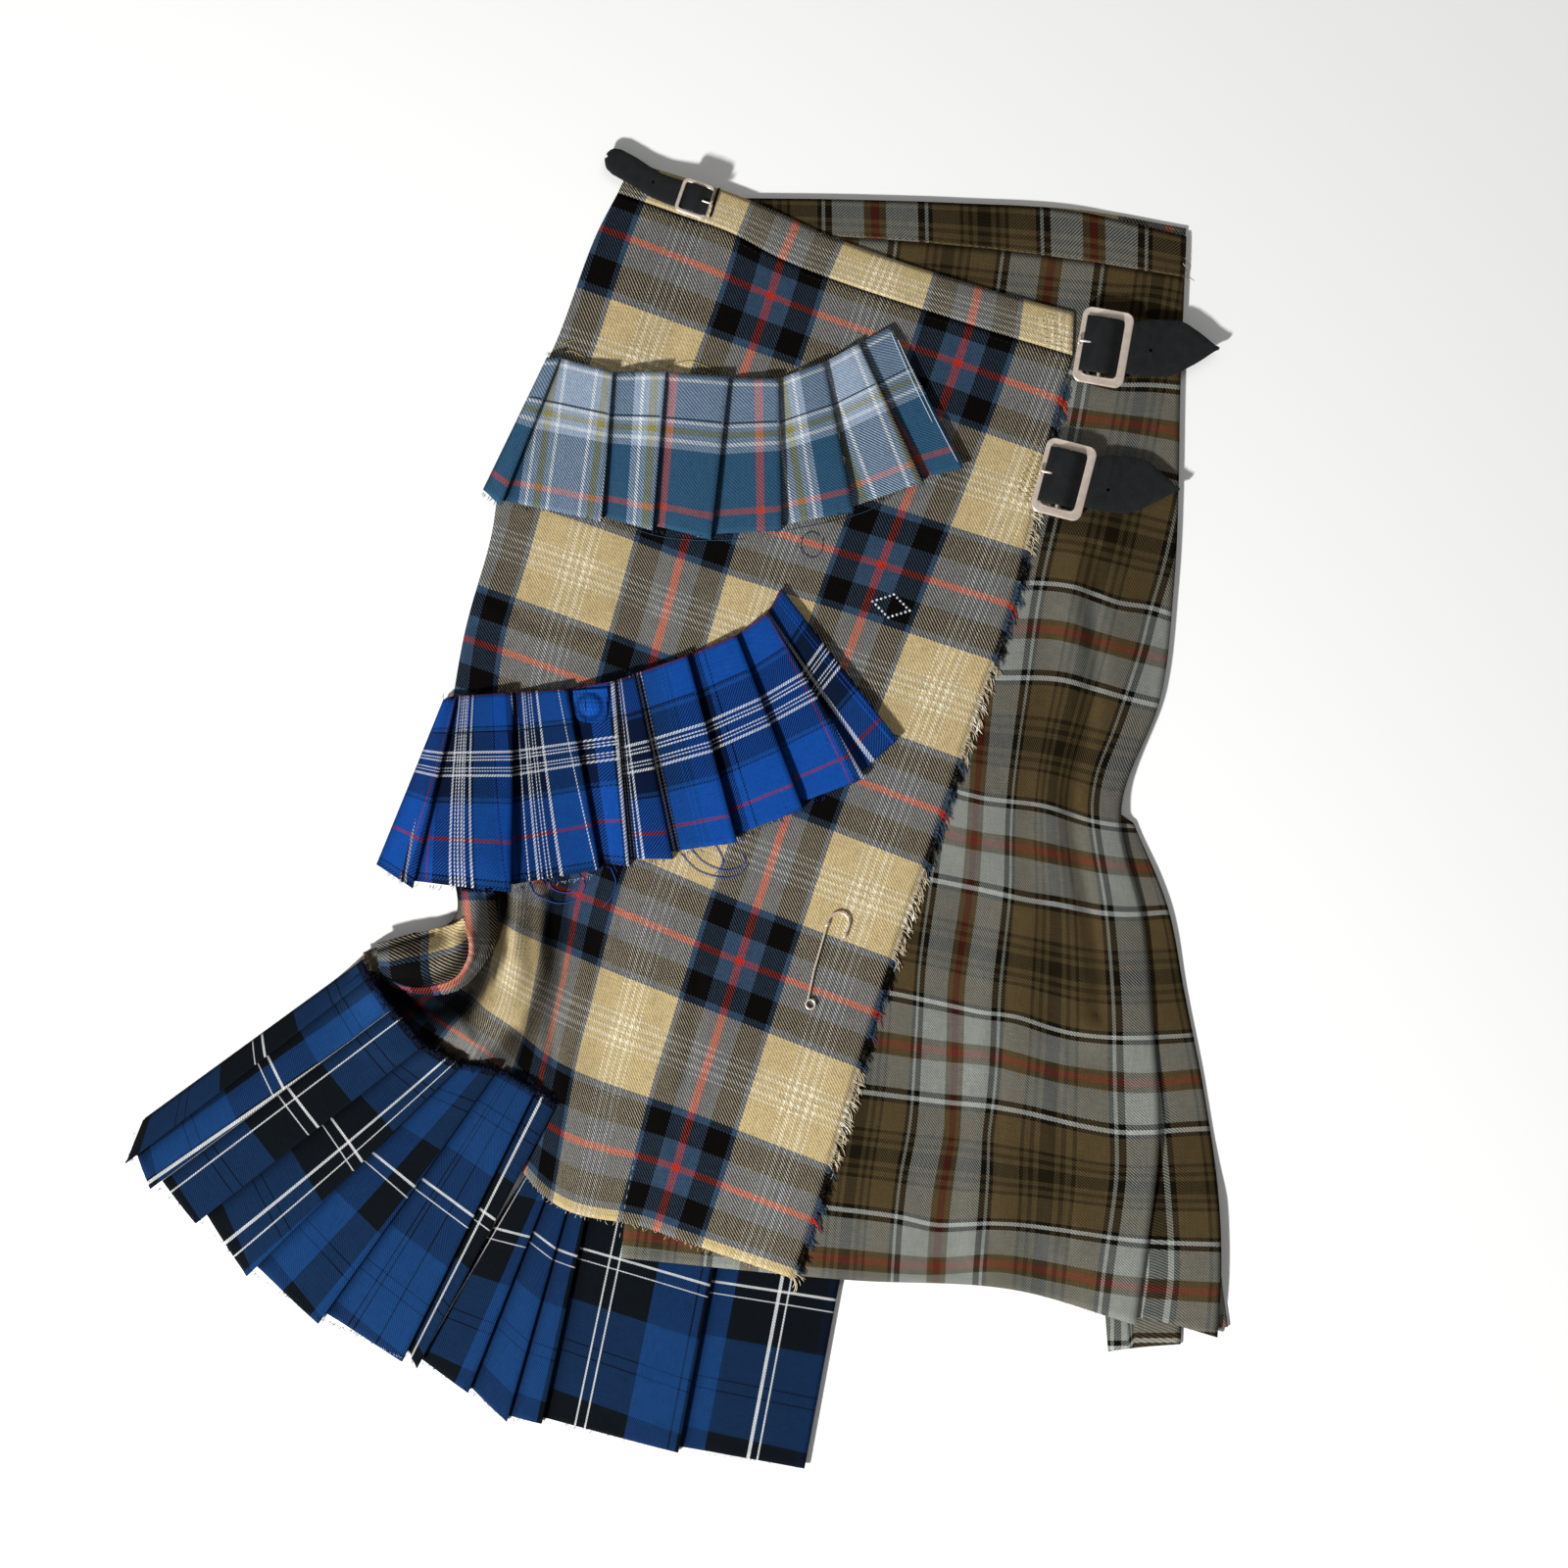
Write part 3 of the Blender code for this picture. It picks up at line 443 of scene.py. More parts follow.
def awayFrom(plan, line):
    # each place's distance from a line of points
    line = np.array(line, float)
    away = np.full(plan.shape[:-1], 1e9)
    for a, b in zip(line[:-1], line[1:]):
        share = np.clip(((plan - a) @ (b - a)) / ((b - a) @ (b - a)), 0, 1)
        away = np.minimum(away, np.linalg.norm(plan - a - share[..., None] * (b - a), axis=-1))
    return away


def folded(plan, folds):
    # soft folds along lines: (points, height, half width of the valley or 0 for a ridge, reach)
    total = np.zeros(plan.shape[:-1])
    for line, lift, valley, reach in folds:
        away = awayFrom(plan, line)
        bump = np.exp(-(away / reach) ** 2)
        total += lift * bump * (1 - np.exp(-(away / valley) ** 2) if valley else 1)
    return total


def shaded(plan, shades):
    # painted shade along lines, for dark hollows: (points, darkness, reach)
    return np.max([dark * np.exp(-(awayFrom(plan, line) / reach) ** 2) for line, dark, reach in shades], axis=0)


clearance = 0.15       # of a sheet's underside above the floor, at least


def addSheet(name, plan, height, flat, material, thick=0.85, node=None, hollow=None):
    # a cloth of even thickness whose face is the grid, standing for its solid
    rows, columns = height.shape
    height = np.maximum(height, thick + clearance)
    points = np.dstack((plan, height)).reshape(-1, 3)
    piece = addMesh(name, points, gridFaces(rows, columns), material, flat.reshape(-1, 2))
    # painted shade: the hollow attribute darkens the cloth's colour, from the cavity map unless given
    layer = piece.data.attributes.new("hollow", "FLOAT", "POINT")
    layer.data.foreach_set("value", (hollowOf(height) if hollow is None else hollow).ravel())
    apply(piece, "SOLIDIFY", thickness=thick * mm, offset=-1, use_even_offset=False)
    if node:
        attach(piece, "root")
        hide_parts(node)
    return piece


def thinPlate(marks, plan):
    # a value over the plan, bent smoothly through the measured marks
    marks = np.asarray(marks, float)
    spots, wanted = marks[:, :2] / 100, marks[:, 2]

    def kernel(a, b):
        away = np.linalg.norm(a[:, None] - b[None], axis=2)
        return away ** 2 * np.log(away + 1e-9)

    count = len(marks)
    side = np.column_stack((np.ones(count), spots))
    matrix = np.zeros((count + 3, count + 3))
    matrix[:count, :count] = kernel(spots, spots) + np.eye(count) * 1e-3
    matrix[:count, count:] = side
    matrix[count:, :count] = side.T
    solved = np.linalg.solve(matrix, np.concatenate((wanted, np.zeros(3))))
    asked = plan.reshape(-1, 2) / 100
    found = kernel(asked, spots) @ solved[:count] + np.column_stack((np.ones(len(asked)), asked)) @ solved[count:]
    return found.reshape(plan.shape[:-1])


# the tan cloth of the apron

tan, tanLine, ink, slate, scarlet = (tone(c) for c in ("CDB787", "FAEFCE", "0C0A09", "354B62", "BC3125"))

tanHalfWarp = (        # stripes from the middle of a red one to the middle of the tan
    (2.2, scarlet), (11.7, slate), (24.9, ink), (27.7, slate), (45.8, tan), (47.0, tanLine),
    (49.3, tan), (51.3, tanLine), (54.0, tan), (54.7, tanLine))
tanHalfWeft = (
    (1.7, scarlet), (13.7, slate), (27.0, ink), (31.0, slate), (49.6, tan), (50.8, tanLine),
    (53.1, tan), (55.1, tanLine), (57.8, tan), (58.5, tanLine))


tanStripes = (striped(tanHalfWarp, 0, 54.7), striped(tanHalfWeft, 1, 58.5, start=142))
tanWoven = wovenCloth("tan_check", *tanStripes, grain=0.65, fade=0.1, merge=0.1, slub=0.6, dull=0.4,
                      floats=(0.78, 0.88, -0.03))
tanYarn = wovenCloth("tan_yarn", *tanStripes, threads=True, grain=0.1)

apronAcross = (0.0, 0.13, 0.26, 0.40, 0.74, 1.0)
apronSections = (      # (down, left edge, roll, tuck, two red stripes, right edge)
    (0, ((-34, 339), (-3, 328), (27, 317), (56, 302), (160, 266), (216, 249))),
    (22, ((-44, 320), (-12, 308), (20, 295), (50, 282), (153, 245), (208.5, 225))),
    (82, ((-68, 257), (-36, 247), (-2, 236), (30, 225), (133, 190), (196, 169))),
    (142, ((-95, 201), (-60, 190), (-24, 178), (9, 166), (111, 134), (182, 112))),
    (200, ((-104, 149), (-73, 138), (-39, 126), (-6, 113), (91, 80), (163, 55))),
    (259, ((-119, 94), (-87, 83), (-54, 71), (-21, 59), (70, 26), (144, -2))),
    (376, ((-128, -20), (-106, -30), (-82, -39), (-55, -48), (33, -84), (107, -112))),
    (420, ((-122.5, -58.5), (-112, -67), (-89, -80), (-64, -93), (20, -126), (94, -155))),
    (455, ((-141, -68.5), (-124, -90), (-96, -110), (-72, -128), (9, -160), (84, -189))),
    (493, ((-164, -75.5), (-144, -108), (-108, -132), (-80, -167), (-2, -197), (73, -226))),
    (530, ((-174, -79), (-156, -122), (-116, -148), (-86, -200), (-13, -232), (62, -258))))
apronWarps = (         # the cloth's own place across, at the same points
    (0, (-97, -64.5, -32.6, 0, 109.4, 168)), (22, (-99.5, -66, -33, 0, 109.4, 168.5)),
    (82, (-103, -69.6, -33.8, 0, 109.4, 176)), (142, (-109, -73, -35, 0, 109.4, 183)),
    (200, (-105, -71.5, -35.5, 0, 109.4, 187)), (259, (-104, -70.5, -35.5, 0, 109.4, 189)),
    (376, (-117, -92, -48, 0, 109.4, 188)), (420, (-128, -107, -53, 0, 109.4, 188)),
    (455, (-137, -109.4, -55, 0, 109.4, 188)), (493, (-147, -109.4, -55, 0, 109.4, 188)),
    (530, (-155, -109.4, -55, 0, 109.4, 188)))
apron = {
    "step": 3.0,
    "weftMarks": ((0, 3), (22, 25), (142, 142), (259, 259), (376, 376), (493, 493), (530, 530)),
    "bandTop": ((-26, 356), (10, 345), (45, 332), (80, 316), (115, 303), (149, 292), (183, 282), (217, 273)),
    "bandWefts": (-52.0, -24.0),
    "flat": (0.36, 0.53),
    "folds": (         # (points, height, half width of the valley or 0 for a ridge, reach)
        (((-97, -46), (-96.5, -64), (-97, -76), (-104, -88), (-111, -99), (-115, -111)), -5.0, 0, 5.0),
        (((-91, -68), (-92, -82), (-101, -96), (-107, -110), (-113, -127)), 3.0, 0, 5.0),
        (((-76, -44), (-75.5, -66), (-75.5, -90), (-80, -103), (-88, -118)), 3.5, 0, 4.0),
        (((-112, -40), (-117, -66), (-121, -82), (-130, -90), (-148, -92)), 3.0, 0, 6.0),
        (((-124, -104), (-138, -107), (-152, -106)), -3.5, 0, 7.0),
        (((-60, -40), (-66, -80), (-72, -120), (-70, -160)), 1.6, 3.0, 14.0),
        (((-20, 30), (-28, -20), (-34, -70)), 1.2, 3.0, 14.0),
        (((-110, 120), (-80, 100), (-40, 96)), 1.4, 3.0, 12.0),
        (((130, 210), (100, 196), (60, 206)), 1.2, 3.0, 14.0),
        (((10, -90), (4, -140), (-4, -190)), 1.4, 3.0, 14.0)),
    "shades": (        # painted shade: (points, darkness, reach)
        (((-156, -104), (-148, -109), (-137, -112), (-126, -110), (-114, -101)), 0.97, 8.5),
        (((-116, -99), (-106, -88), (-100, -78), (-97.5, -66), (-97, -48)), 0.85, 3.6),
        (((-124, -106), (-119, -114), (-112, -124)), 0.6, 4.0),
        (((-71.5, -46), (-71, -66), (-71, -90), (-76, -104), (-84, -119)), 0.5, 3.5),
        (((-84, -46), (-85, -62), (-88, -78)), 0.3, 3.0)),
}


def flatFrom(table, across, downs, shares):
    values = smooth([down for down, row in table], [row for down, row in table], downs)
    return smooth(across, values.T, shares).T


def makeApron():
    downs = stopsBetween(0, 530, apron["step"])
    shares = stopsBetween(0, 1, apron["step"] / 262)
    plan = sectionPlan(apronSections, apronAcross, downs, shares)
    height = np.maximum(softened(topOf(nodeTree("front_apron"), plan), 4) + folded(plan, apron["folds"]), 1.2)
    over = nodeTree("flounce_left")                  # its lower left corner goes under the flounce
    for spot in np.ndindex(height.shape):
        hit = dropOn(over, *plan[spot])
        if hit:
            height[spot] = max(min(height[spot], hit.z - 1.8), 1.0)
    warps = flatFrom(apronWarps, apronAcross, downs, shares)
    marks = np.array(apron["weftMarks"], float)
    wefts = np.interp(downs, marks[:, 0], marks[:, 1])[:, None] * np.ones(len(shares))
    piece = addSheet("apron_cloth", plan, height, np.dstack((warps, wefts)), tanWoven, node="front_apron",
                     hollow=np.maximum(hollowOf(height, 60, 4.5, 0.88), shaded(plan, apron["shades"])))
    return plan, height, warps, wefts


def bandPlan(top, seam, rows):
    # a waistband from its top edge down to the seam row of its cloth
    steps = np.linalg.norm(np.diff(seam, axis=0), axis=1)
    shares = np.concatenate(([0.0], np.cumsum(steps))) / steps.sum()
    head = smooth(np.linspace(0, 1, len(top)), top, shares)
    run = np.gradient(seam, axis=0)
    run /= np.linalg.norm(run, axis=1)[:, None]
    foot = seam + np.column_stack((-run[:, 1], run[:, 0])) * 0.3
    down = np.linspace(0, 1, rows)[:, None, None]
    return head * (1 - down) + foot * down


def makeBand(name, node, top, seam, warps, wefts, material, rows=9):
    plan = bandPlan(np.array(top, float), seam, rows)
    height = topOf(nodeTree(node), plan)
    down = np.linspace(0, 1, rows)[:, None]
    roll = 0.4 * (1 - (1 - np.minimum(down * 2, 1)) ** 4)      # the folded edge
    height = softened(height, 2) + roll - 0.3
    flat = np.dstack((np.tile(warps, (rows, 1)), wefts[0] + (wefts[1] - wefts[0]) * down * np.ones(len(warps))))
    piece = addSheet(name, plan, height, flat, material, thick=1.0, node=node)


apronPlan, apronHeight, apronFlatWarps, apronFlatWefts = makeApron()
makeBand("apron_band_cloth", "apron_waistband", apron["bandTop"], apronPlan[0], apronFlatWarps[0],
         apron["bandWefts"], tanWoven)
print("the apron and its waistband are made")


# the weathered brown cloth

brown, brownDark, brownPale, bark = (tone(c) for c in ("58492F", "2A2112", "4D4129", "1D180C"))
mist, chalk, ash, soot = (tone(c) for c in ("969A92", "C6CBC3", "979C93", "110E09"))
brick, maroon = (tone(c) for c in ("843A2F", "5A1E17"))


def brownHalf(red, line, width):
    return ((2.2, red), (5.6, brown), (22.5, mist), (27.9 - width, soot), (27.9, line), (30.0, soot), (44.4, brown),
            (46.3, brownDark), (48.9, brownPale), (51.1, brownDark), (53.7, brownPale), (57.3, bark))


brownWoven = wovenCloth("weathered_check", striped(brownHalf(maroon, ash, 1.9), 0, 57.3),
                        striped(brownHalf(brick, chalk, 2.5), 1, 57.3, scale=1.02),
                        yarn=0.42, grain=0.6, fade=0.14, sink=0.12, dull=0.25, merge=0.4, floats=(0.62, 0.72, 0.05))

frontAcross = (0.0, 0.45, 0.78, 1.0)
frontSections = (
    (0, ((30, 318), (142, 310.5), (224, 301), (278, 292))),
    (60, ((24, 260), (138, 252), (221, 246), (276, 243))),
    (180, ((12, 140), (129, 132), (215, 125), (272, 121))),
    (240, ((5, 80), (122, 72), (208, 66), (265, 62))),
    (305, ((-3, 15), (108, 7), (189, 1), (243, 0))),
    (370, ((-10, -50), (110, -58), (197, -64), (256, -63))),
    (430, ((-17, -110), (108, -116), (200, -121), (261, -120))),
    (490, ((-24, -170), (106, -173), (201, -180), (264, -180))),
    (545, ((-29, -215), (100, -222), (195, -228), (258, -235))),
    (590, ((-32, -247), (96, -259.5), (190, -266), (251, -284))))
backAcross = (0.0, 0.5, 1.0)
backSections = (
    (0, ((34, 310.5), (160, 306.5), (276, 292.5))),
    (200, ((10, 120), (140, 120), (268, 115))),
    (320, ((-5, 0), (120, 0), (238, -3))),
    (450, ((-30, -110), (120, -110), (256, -112))),
    (560, ((-50, -165), (110, -205), (250, -240))))
sidePleatSections = (
    (0, ((232, 2), (241, -2), (250, -8))),
    (50, ((230, -55), (250, -55), (269, -55))),
    (96, ((232, -101), (255, -101), (278, -101))),
    (152, ((238, -157), (264, -157), (289, -157))),
    (202, ((242, -207), (269, -207), (296, -207))),
    (252, ((244, -255), (271, -256), (298, -257))),
    (285, ((240, -278), (268, -283), (296, -291))))
sideReturnSections = (
    (0, ((276, -225), (287, -226), (296, -227))),
    (38, ((282, -263), (291, -263), (299, -263))),
    (60, ((290, -286), (296, -286), (302, -285.5))))
backPleatSections = (
    (0, ((232, -225), (254, -225), (276, -225))),
    (45, ((234, -272), (255, -272), (276.5, -272))),
    (72, ((236, -299), (256, -296.5), (276, -295))))
brownWarpMarks = (     # (x, y, the cloth's own place across)
    (143, 0, -27), (131, -110, -27), (122, -200, -27), (117, -258, -27), (204, 295, 0), (166, 40, 0), (163, 0, 0),
    (152, -100, 0), (150, -180, 0), (141, -260, 0), (229, 285, 25), (216, 205, 25), (203, 150, 25),
    (198, 130, 24.5), (193, 100, 24.5), (188, 60, 24.5), (184, 30, 24.5), (181, 0, 24.5), (180, -40, 24.5),
    (176, -80, 24.5), (173, -120, 24.5), (168, -180, 24.5), (163, -258, 24.5), (266, 130, 88), (260, 110, 88),
    (255, 90, 88), (247, 65, 88), (238, 40, 88), (230, 20, 88), (227, 0, 88), (229, -20, 88), (234, -50, 88),
    (237, -80, 88), (239, -110, 88), (240, -150, 88), (241, -200, 88), (231, -280, 88))
brownWeftMarks = (     # (x, y, the cloth's own place down)
    (40, 306, -70.6), (100, 302, -70.6), (150, 298, -70.6), (226, 289.3, -70.6), (247, 287.5, -70.6),
    (273, 284.5, -70.6), (255, 275.4, -58.4),
    (222, 215, 0), (240, 213, 0), (260, 210, 0), (277, 207, 0), (240, 233, -27), (278, 231, -27), (255, 184, 27),
    (275, 179, 27), (180, 124, 90), (200, 123.5, 90), (220, 120.5, 90), (240, 113, 90), (260, 110, 90),
    (272, 106, 90), (190, 99, 117), (205, 98.5, 117), (220, 95, 117), (240, 89, 117), (268, 82, 117),
    (176, 72, 144), (210, 71, 144), (240, 62.5, 144), (262, 57, 144), (168, 5, 207), (185, 3, 207), (200, 1, 207),
    (225, -7, 207), (245, -10, 207), (137, -12, 234), (170, -19, 234), (185, -21, 234), (200, -24, 234),
    (220, -28, 234), (245, -32, 234), (258, -33, 234), (168, -45, 261), (190, -50, 261), (210, -53, 261),
    (230, -57, 261), (255, -58, 261), (267, -57, 261), (168, -113, 324), (185, -115, 324), (200, -120, 324),
    (215, -124, 324), (240, -126.5, 324), (260, -126.5, 324), (280, -125.5, 324), (105, -128, 351),
    (170, -136, 351), (190, -141, 351), (210, -146, 351), (230, -149, 351), (260, -151, 351), (285, -149, 351),
    (67, -246, 468), (170, -250, 468), (240, -262, 468), (133, -160, 378), (150, -162, 378), (172, -164, 378),
    (194, -168, 378), (219, -174, 378), (242, -178, 378), (155, -196, 409.5), (182, -200, 409.5),
    (205, -203, 409.5), (231, -207, 409.5), (124, -226, 441), (142, -230, 441), (165, -229, 441),
    (191, -230, 441), (228, -235, 441))
brownPieces = {
    "step": 4.0,
    "passes": 4,           # of smoothing, over the solid's facets
    "frontBandTop": ((30, 336), (92, 335.2), (154, 333.2), (216, 329.2), (279, 315)),
    "backBandTop": ((36, 334), (96, 333.5), (157, 332.5), (218, 330), (279, 319.5)),
    "frontBandWarps": ((107, 0), (203, 88.5), (228.5, 114.6), (253, 139.7)),     # (x, the cloth's own place across)
    "frontBandWefts": (66.0, 44.0),
    "backBandWarps": ((237, -30), (267, 0), (280, 13)),
    "backBandWefts": (-12.0, 16.0),
    "sidePleatWarps": (134.0, 142.0, 165.0),
    "frontFolds": (
        (((229, 140), (225, 112), (228, 84), (222, 38), (214, 10), (216, -18), (222, -46), (227, -74), (230, -112)),
         5.0, 5.5, 19.0),
        (((182, -60), (176, -110), (172, -170), (168, -240)), 2.2, 4.0, 16.0),
        (((206, -140), (210, -190), (212, -240)), 1.8, 4.0, 12.0),
        (((90, -150), (84, -200), (80, -246)), 1.5, 4.0, 14.0)),
}


def panelPlan(sections, across, width):
    downs = stopsBetween(0, sections[-1][0], brownPieces["step"])
    return sectionPlan(sections, across, downs, stopsBetween(0, 1, brownPieces["step"] / width))


def addPanel(name, node, plan, warps, wefts, relief=0):
    height = softened(topOf(nodeTree(node), plan), brownPieces["passes"]) + relief
    piece = addSheet(name, plan, height, np.dstack((warps, wefts)), brownWoven, node=node)


def makeBrown():
    back = panelPlan(backSections, backAcross, 280)
    addPanel("back_cloth", "back_panel", back, thinPlate(brownWarpMarks, back), thinPlate(brownWeftMarks, back))
    front = panelPlan(frontSections, frontAcross, 280)
    addPanel("front_cloth", "front_panel", front, thinPlate(brownWarpMarks, front), thinPlate(brownWeftMarks, front),
             relief=folded(front, brownPieces["frontFolds"]))
    side = panelPlan(sidePleatSections, backAcross, 60)
    sideWarps = smooth(backAcross, brownPieces["sidePleatWarps"], stopsBetween(0, 1, brownPieces["step"] / 60))
    addPanel("side_pleat_cloth", "side_pleat", side, np.tile(sideWarps, (len(side), 1)),
             thinPlate(brownWeftMarks, side))
    for name, node, sections, width, size in (
            ("side_return_cloth", "side_return", sideReturnSections, 20, (0.02, 0.06)),
            ("back_pleat_cloth", "back_pleat", backPleatSections, 44, (0.044, 0.072))):
        plan = panelPlan(sections, backAcross, width)
        x, y = plan[..., 0], plan[..., 1]
        warps, wefts = x - 200, 300 - y
        if name == "back_pleat_cloth":       # two folds, side by side
            warps = np.where(x < 249, 30 - (x - 235) * 0.9, 31 + (x - 249) * 0.4)
            wefts = np.where(x < 249, -269.9 - y, -265.6 - y)
        addPanel(name, node, plan, warps, wefts)
    for side, seam, woven in (("front", front[0], brownWoven), ("back", back[0], tanWoven)):
        marks = np.array(brownPieces[side + "BandWarps"])
        slope = np.polyfit(marks[:, 0], marks[:, 1], 1)
        makeBand(side + "_band_cloth", side + "_waistband", brownPieces[side + "BandTop"], seam,
                 np.polyval(slope, seam[:, 0]), brownPieces[side + "BandWefts"], woven)
    return front


frontPlan = makeBrown()
print("the brown panels are made")


# pleated strips

def lined(zones, lines):
    # stripes from plain zones (end, colour) with narrow lines (middle, width, colour) laid over them
    cuts = sorted({end for end, colour in zones}
                  | {edge for spot, width, colour in lines for edge in (spot - width / 2, spot + width / 2)})
    runs, start = [], 0.0
    for cut in (c for c in cuts if 0 < c <= zones[-1][0]):
        middle = (start + cut) / 2
        colour = next(c for end, c in zones if middle < end)
        for spot, width, thread in lines:
            if abs(middle - spot) < width / 2:
                colour = thread
        runs.append((cut, colour))
        start = cut
    return runs


pleating = {
    "step": 3.0,           # between rows and columns of points
    "nose": ((0.45, 0.15), (0.65, 0.5), (0.45, 0.85)),     # (reach past the fold, share of the drop)
    "gap": 0.45,           # between the tuck's two layers
    "thick": 0.8,
    "inset": 0.8,          # heights are taken this far inside a face's edges
    "smoothing": 3,
    "level": 0.6,          # share of a face where its hem hangs neither lower nor higher
    "dip": (0.8, 0.12),    # beside the fold before it: depth, reach as a share of the face
    "shade": 0.65,         # darkness of the painted shade there
    "underShade": 0.9,     # painted shade at the back of the tuck
    "travel": (0.5, 1.0, 1.5, 2.0, 8.0, 8.3, 8.6, 12.0),     # the cloth's own run round a turn
}


def makeStrip(name, node, strip, material):
    # knife pleats: each face runs to its fold edge, turns under, goes back and sets off again
    tree = nodeTree(node)
    tops = np.array([pleat[:2] for pleat in strip["pleats"]], float)
    hems = np.array([pleat[2:4] for pleat in strip["pleats"]], float)
    tucks = np.array([pleat[4:6] for pleat in strip["pleats"]], float)
    depth = strip["depth"]
    down = stopsBetween(0, 1, pleating["step"] / depth)[:, None]
    faces, plans, heights, flats = len(tops) - 1, [], [], []
    starts, hollows, dark = [], [], []
    for k in range(faces):
        left, right = (tops[k] + (hems[k] - tops[k]) * down, tops[k + 1] + (hems[k + 1] - tops[k + 1]) * down)
        width = np.linalg.norm(right - left, axis=1)
        share = stopsBetween(0, 1, pleating["step"] / width.max())
        plan = left[:, None] + (right - left)[:, None] * share[None, :, None]
        inset = np.minimum(pleating["inset"] / width, 0.3)[:, None]
        seen = np.clip(share[None], inset, 1 - inset)
        height = topOf(tree, left[:, None] + (right - left)[:, None] * seen[..., None])
        height = softened(height, pleating["smoothing"]) + strip["relief"](share[None], down)
        fall = (hems[k] - tops[k]) / np.linalg.norm(hems[k] - tops[k])
        plan = plan + fall * ((share[None, :] - pleating["level"]) * down ** 3 * strip["hemStep"])[..., None]
        a, b, c, d = strip["warps"][k]
        warps = (a + (c - a) * down) * (1 - share) + (b + (d - b) * down) * share
        low, high = strip["wefts"][k]
        wefts = down * depth - (low + (high - low) * share[None]) * np.minimum(1, down * 2)
        starts.append((plan, height, warps, wefts))
        reach = share[None, :] * width[:, None]
        # painted shade beside the fold edge that overhangs this face
        shadow = pleating["shade"] * np.exp(-(reach / strip["shadow"]) ** 1.5) if k else 0 * reach
        hollows.append(np.maximum(shadow, hollowOf(height, 20, 4.0)))
    for k, (plan, height, warps, wefts) in enumerate(starts):
        plans.append(plan), heights.append(height), flats.append(np.dstack((warps, wefts)))
        dark.append(hollows[k])
        if k == faces - 1:
            break
        ahead = plan[:, -1] - plan[:, -2]
        ahead /= np.linalg.norm(ahead, axis=1)[:, None]
        tuck = (tucks[k + 1][0] + (tucks[k + 1][1] - tucks[k + 1][0]) * down[:, 0])
        bottom = starts[k + 1][1][:, 0]
        turned = bottom + pleating["gap"]
        drop = height[:, -1] - turned
        turns = [(np.full(len(down), reach), height[:, -1] - drop * share) for reach, share in pleating["nose"]]
        turns += [(0 * tuck, turned), (-tuck, turned), (-tuck - 0.15, (turned + bottom) / 2), (-tuck, bottom),
                  (-tuck / 2, bottom)]
        plans.append(np.stack([plan[:, -1] + ahead * reach[:, None] for reach, level in turns], axis=1))
        heights.append(np.stack([level for reach, level in turns], axis=1))
        travel = np.array(pleating["travel"])
        # painted shade deepening into the turned-under tuck
        dark.append(np.linspace(0, pleating["underShade"], len(travel))[None, :] * np.ones((len(down), 1)))
        flats.append(np.dstack((warps[:, -1:] + travel, wefts[:, -1:] + 0 * travel)))
    piece = addSheet(name, np.concatenate(plans, axis=1), np.concatenate(heights, axis=1),
                     np.concatenate(flats, axis=1), material, thick=pleating["thick"], node=node,
                     hollow=np.concatenate(dark, axis=1))
    laid = np.linalg.norm(np.diff(hems, axis=0), axis=1).sum() / 2
    laid += np.linalg.norm(np.diff(tops, axis=0), axis=1).sum() / 2
    laid += tucks.sum()
    depth * mm


def flutes(lift, crown):
    # a face that crowns a little and whose fold edge lifts towards the hem
    dip, reach = pleating["dip"]

    def relief(share, down):
        hollow = dip * np.exp(-(share / reach) ** 2)
        return crown * np.sin(share * math.pi) * (0.3 + 0.7 * down) + lift * share ** 3 * (0.35 + 0.65 * down) - hollow
    return relief


# the light blue ruffle

teal, lavender, frost, olive, poppy = (tone(c) for c in ("305470", "9DAEC4", "E6EAEC", "969155", "B04A3A"))
lightWarps = ((2.1, poppy), (34, teal), (38, lavender), (40.2, frost), (43.7, lavender), (48.7, olive),
              (52.2, lavender), (54.4, frost), (64.4, lavender))
lightWefts = ((2.8, lavender), (4.5, frost), (25, lavender), (27, frost), (29, lavender), (32.5, olive),
              (35, lavender), (37, frost), (40.5, lavender), (71, teal), (74.3, poppy), (90, teal))
ruffleUpper = {
    "depth": 84.3,
    "pleats": (        # (fold edge at the head, at the hem, tuck at the head and hem)
        (-73, 248, -109, 174, 0, 0), (-66, 248, -98, 168, 6, 6), (-37, 240, -43, 159, 7, 8),
        (-8, 240, -15, 154, 7, 8), (27, 237, 17, 149, 7, 8), (54, 236, 56, 154, 7, 8), (79, 245, 95, 164, 7, 8),
        (98, 255, 133, 180, 7, 8), (116, 265, 156, 188, 0, 0)),
    "warps": (         # the cloth's own place at each face's corners: head left, head right, hem left, hem right
        (12, 19, 8, 20), (48.3, 86, 23.6, 89.9), (20, 52, 18.5, 50.5), (-5, 29, -5, 29), (-16.5, 10.5, -28, 11.3),
        (-49.5, -17, -61.2, -16.2), (52.5, 79.6, 37.6, 83.8), (4, 22, -4, 20)),
    "wefts": ((0, 0),) * 8,
    "relief": flutes(2.2, 0.8),
    "hemStep": 3.0,        # how much lower each face hangs at its fold edge
    "shadow": 3.0,         # how far the painted shade under a fold reaches
    "on": ["front_apron"],
}


lightWoven = wovenCloth("light_blue_check", striped(lightWarps, 0, 64.4), striped(lightWefts, 1), fade=0.05,
                        sink=0.08, dull=0.15, gain=1.18, grain=0.85, merge=0.08, floats=(0.78, 0.88, 0.06))
makeStrip("ruffle_upper_cloth", "ruffle_upper", ruffleUpper, lightWoven)

# the bright blue ruffle

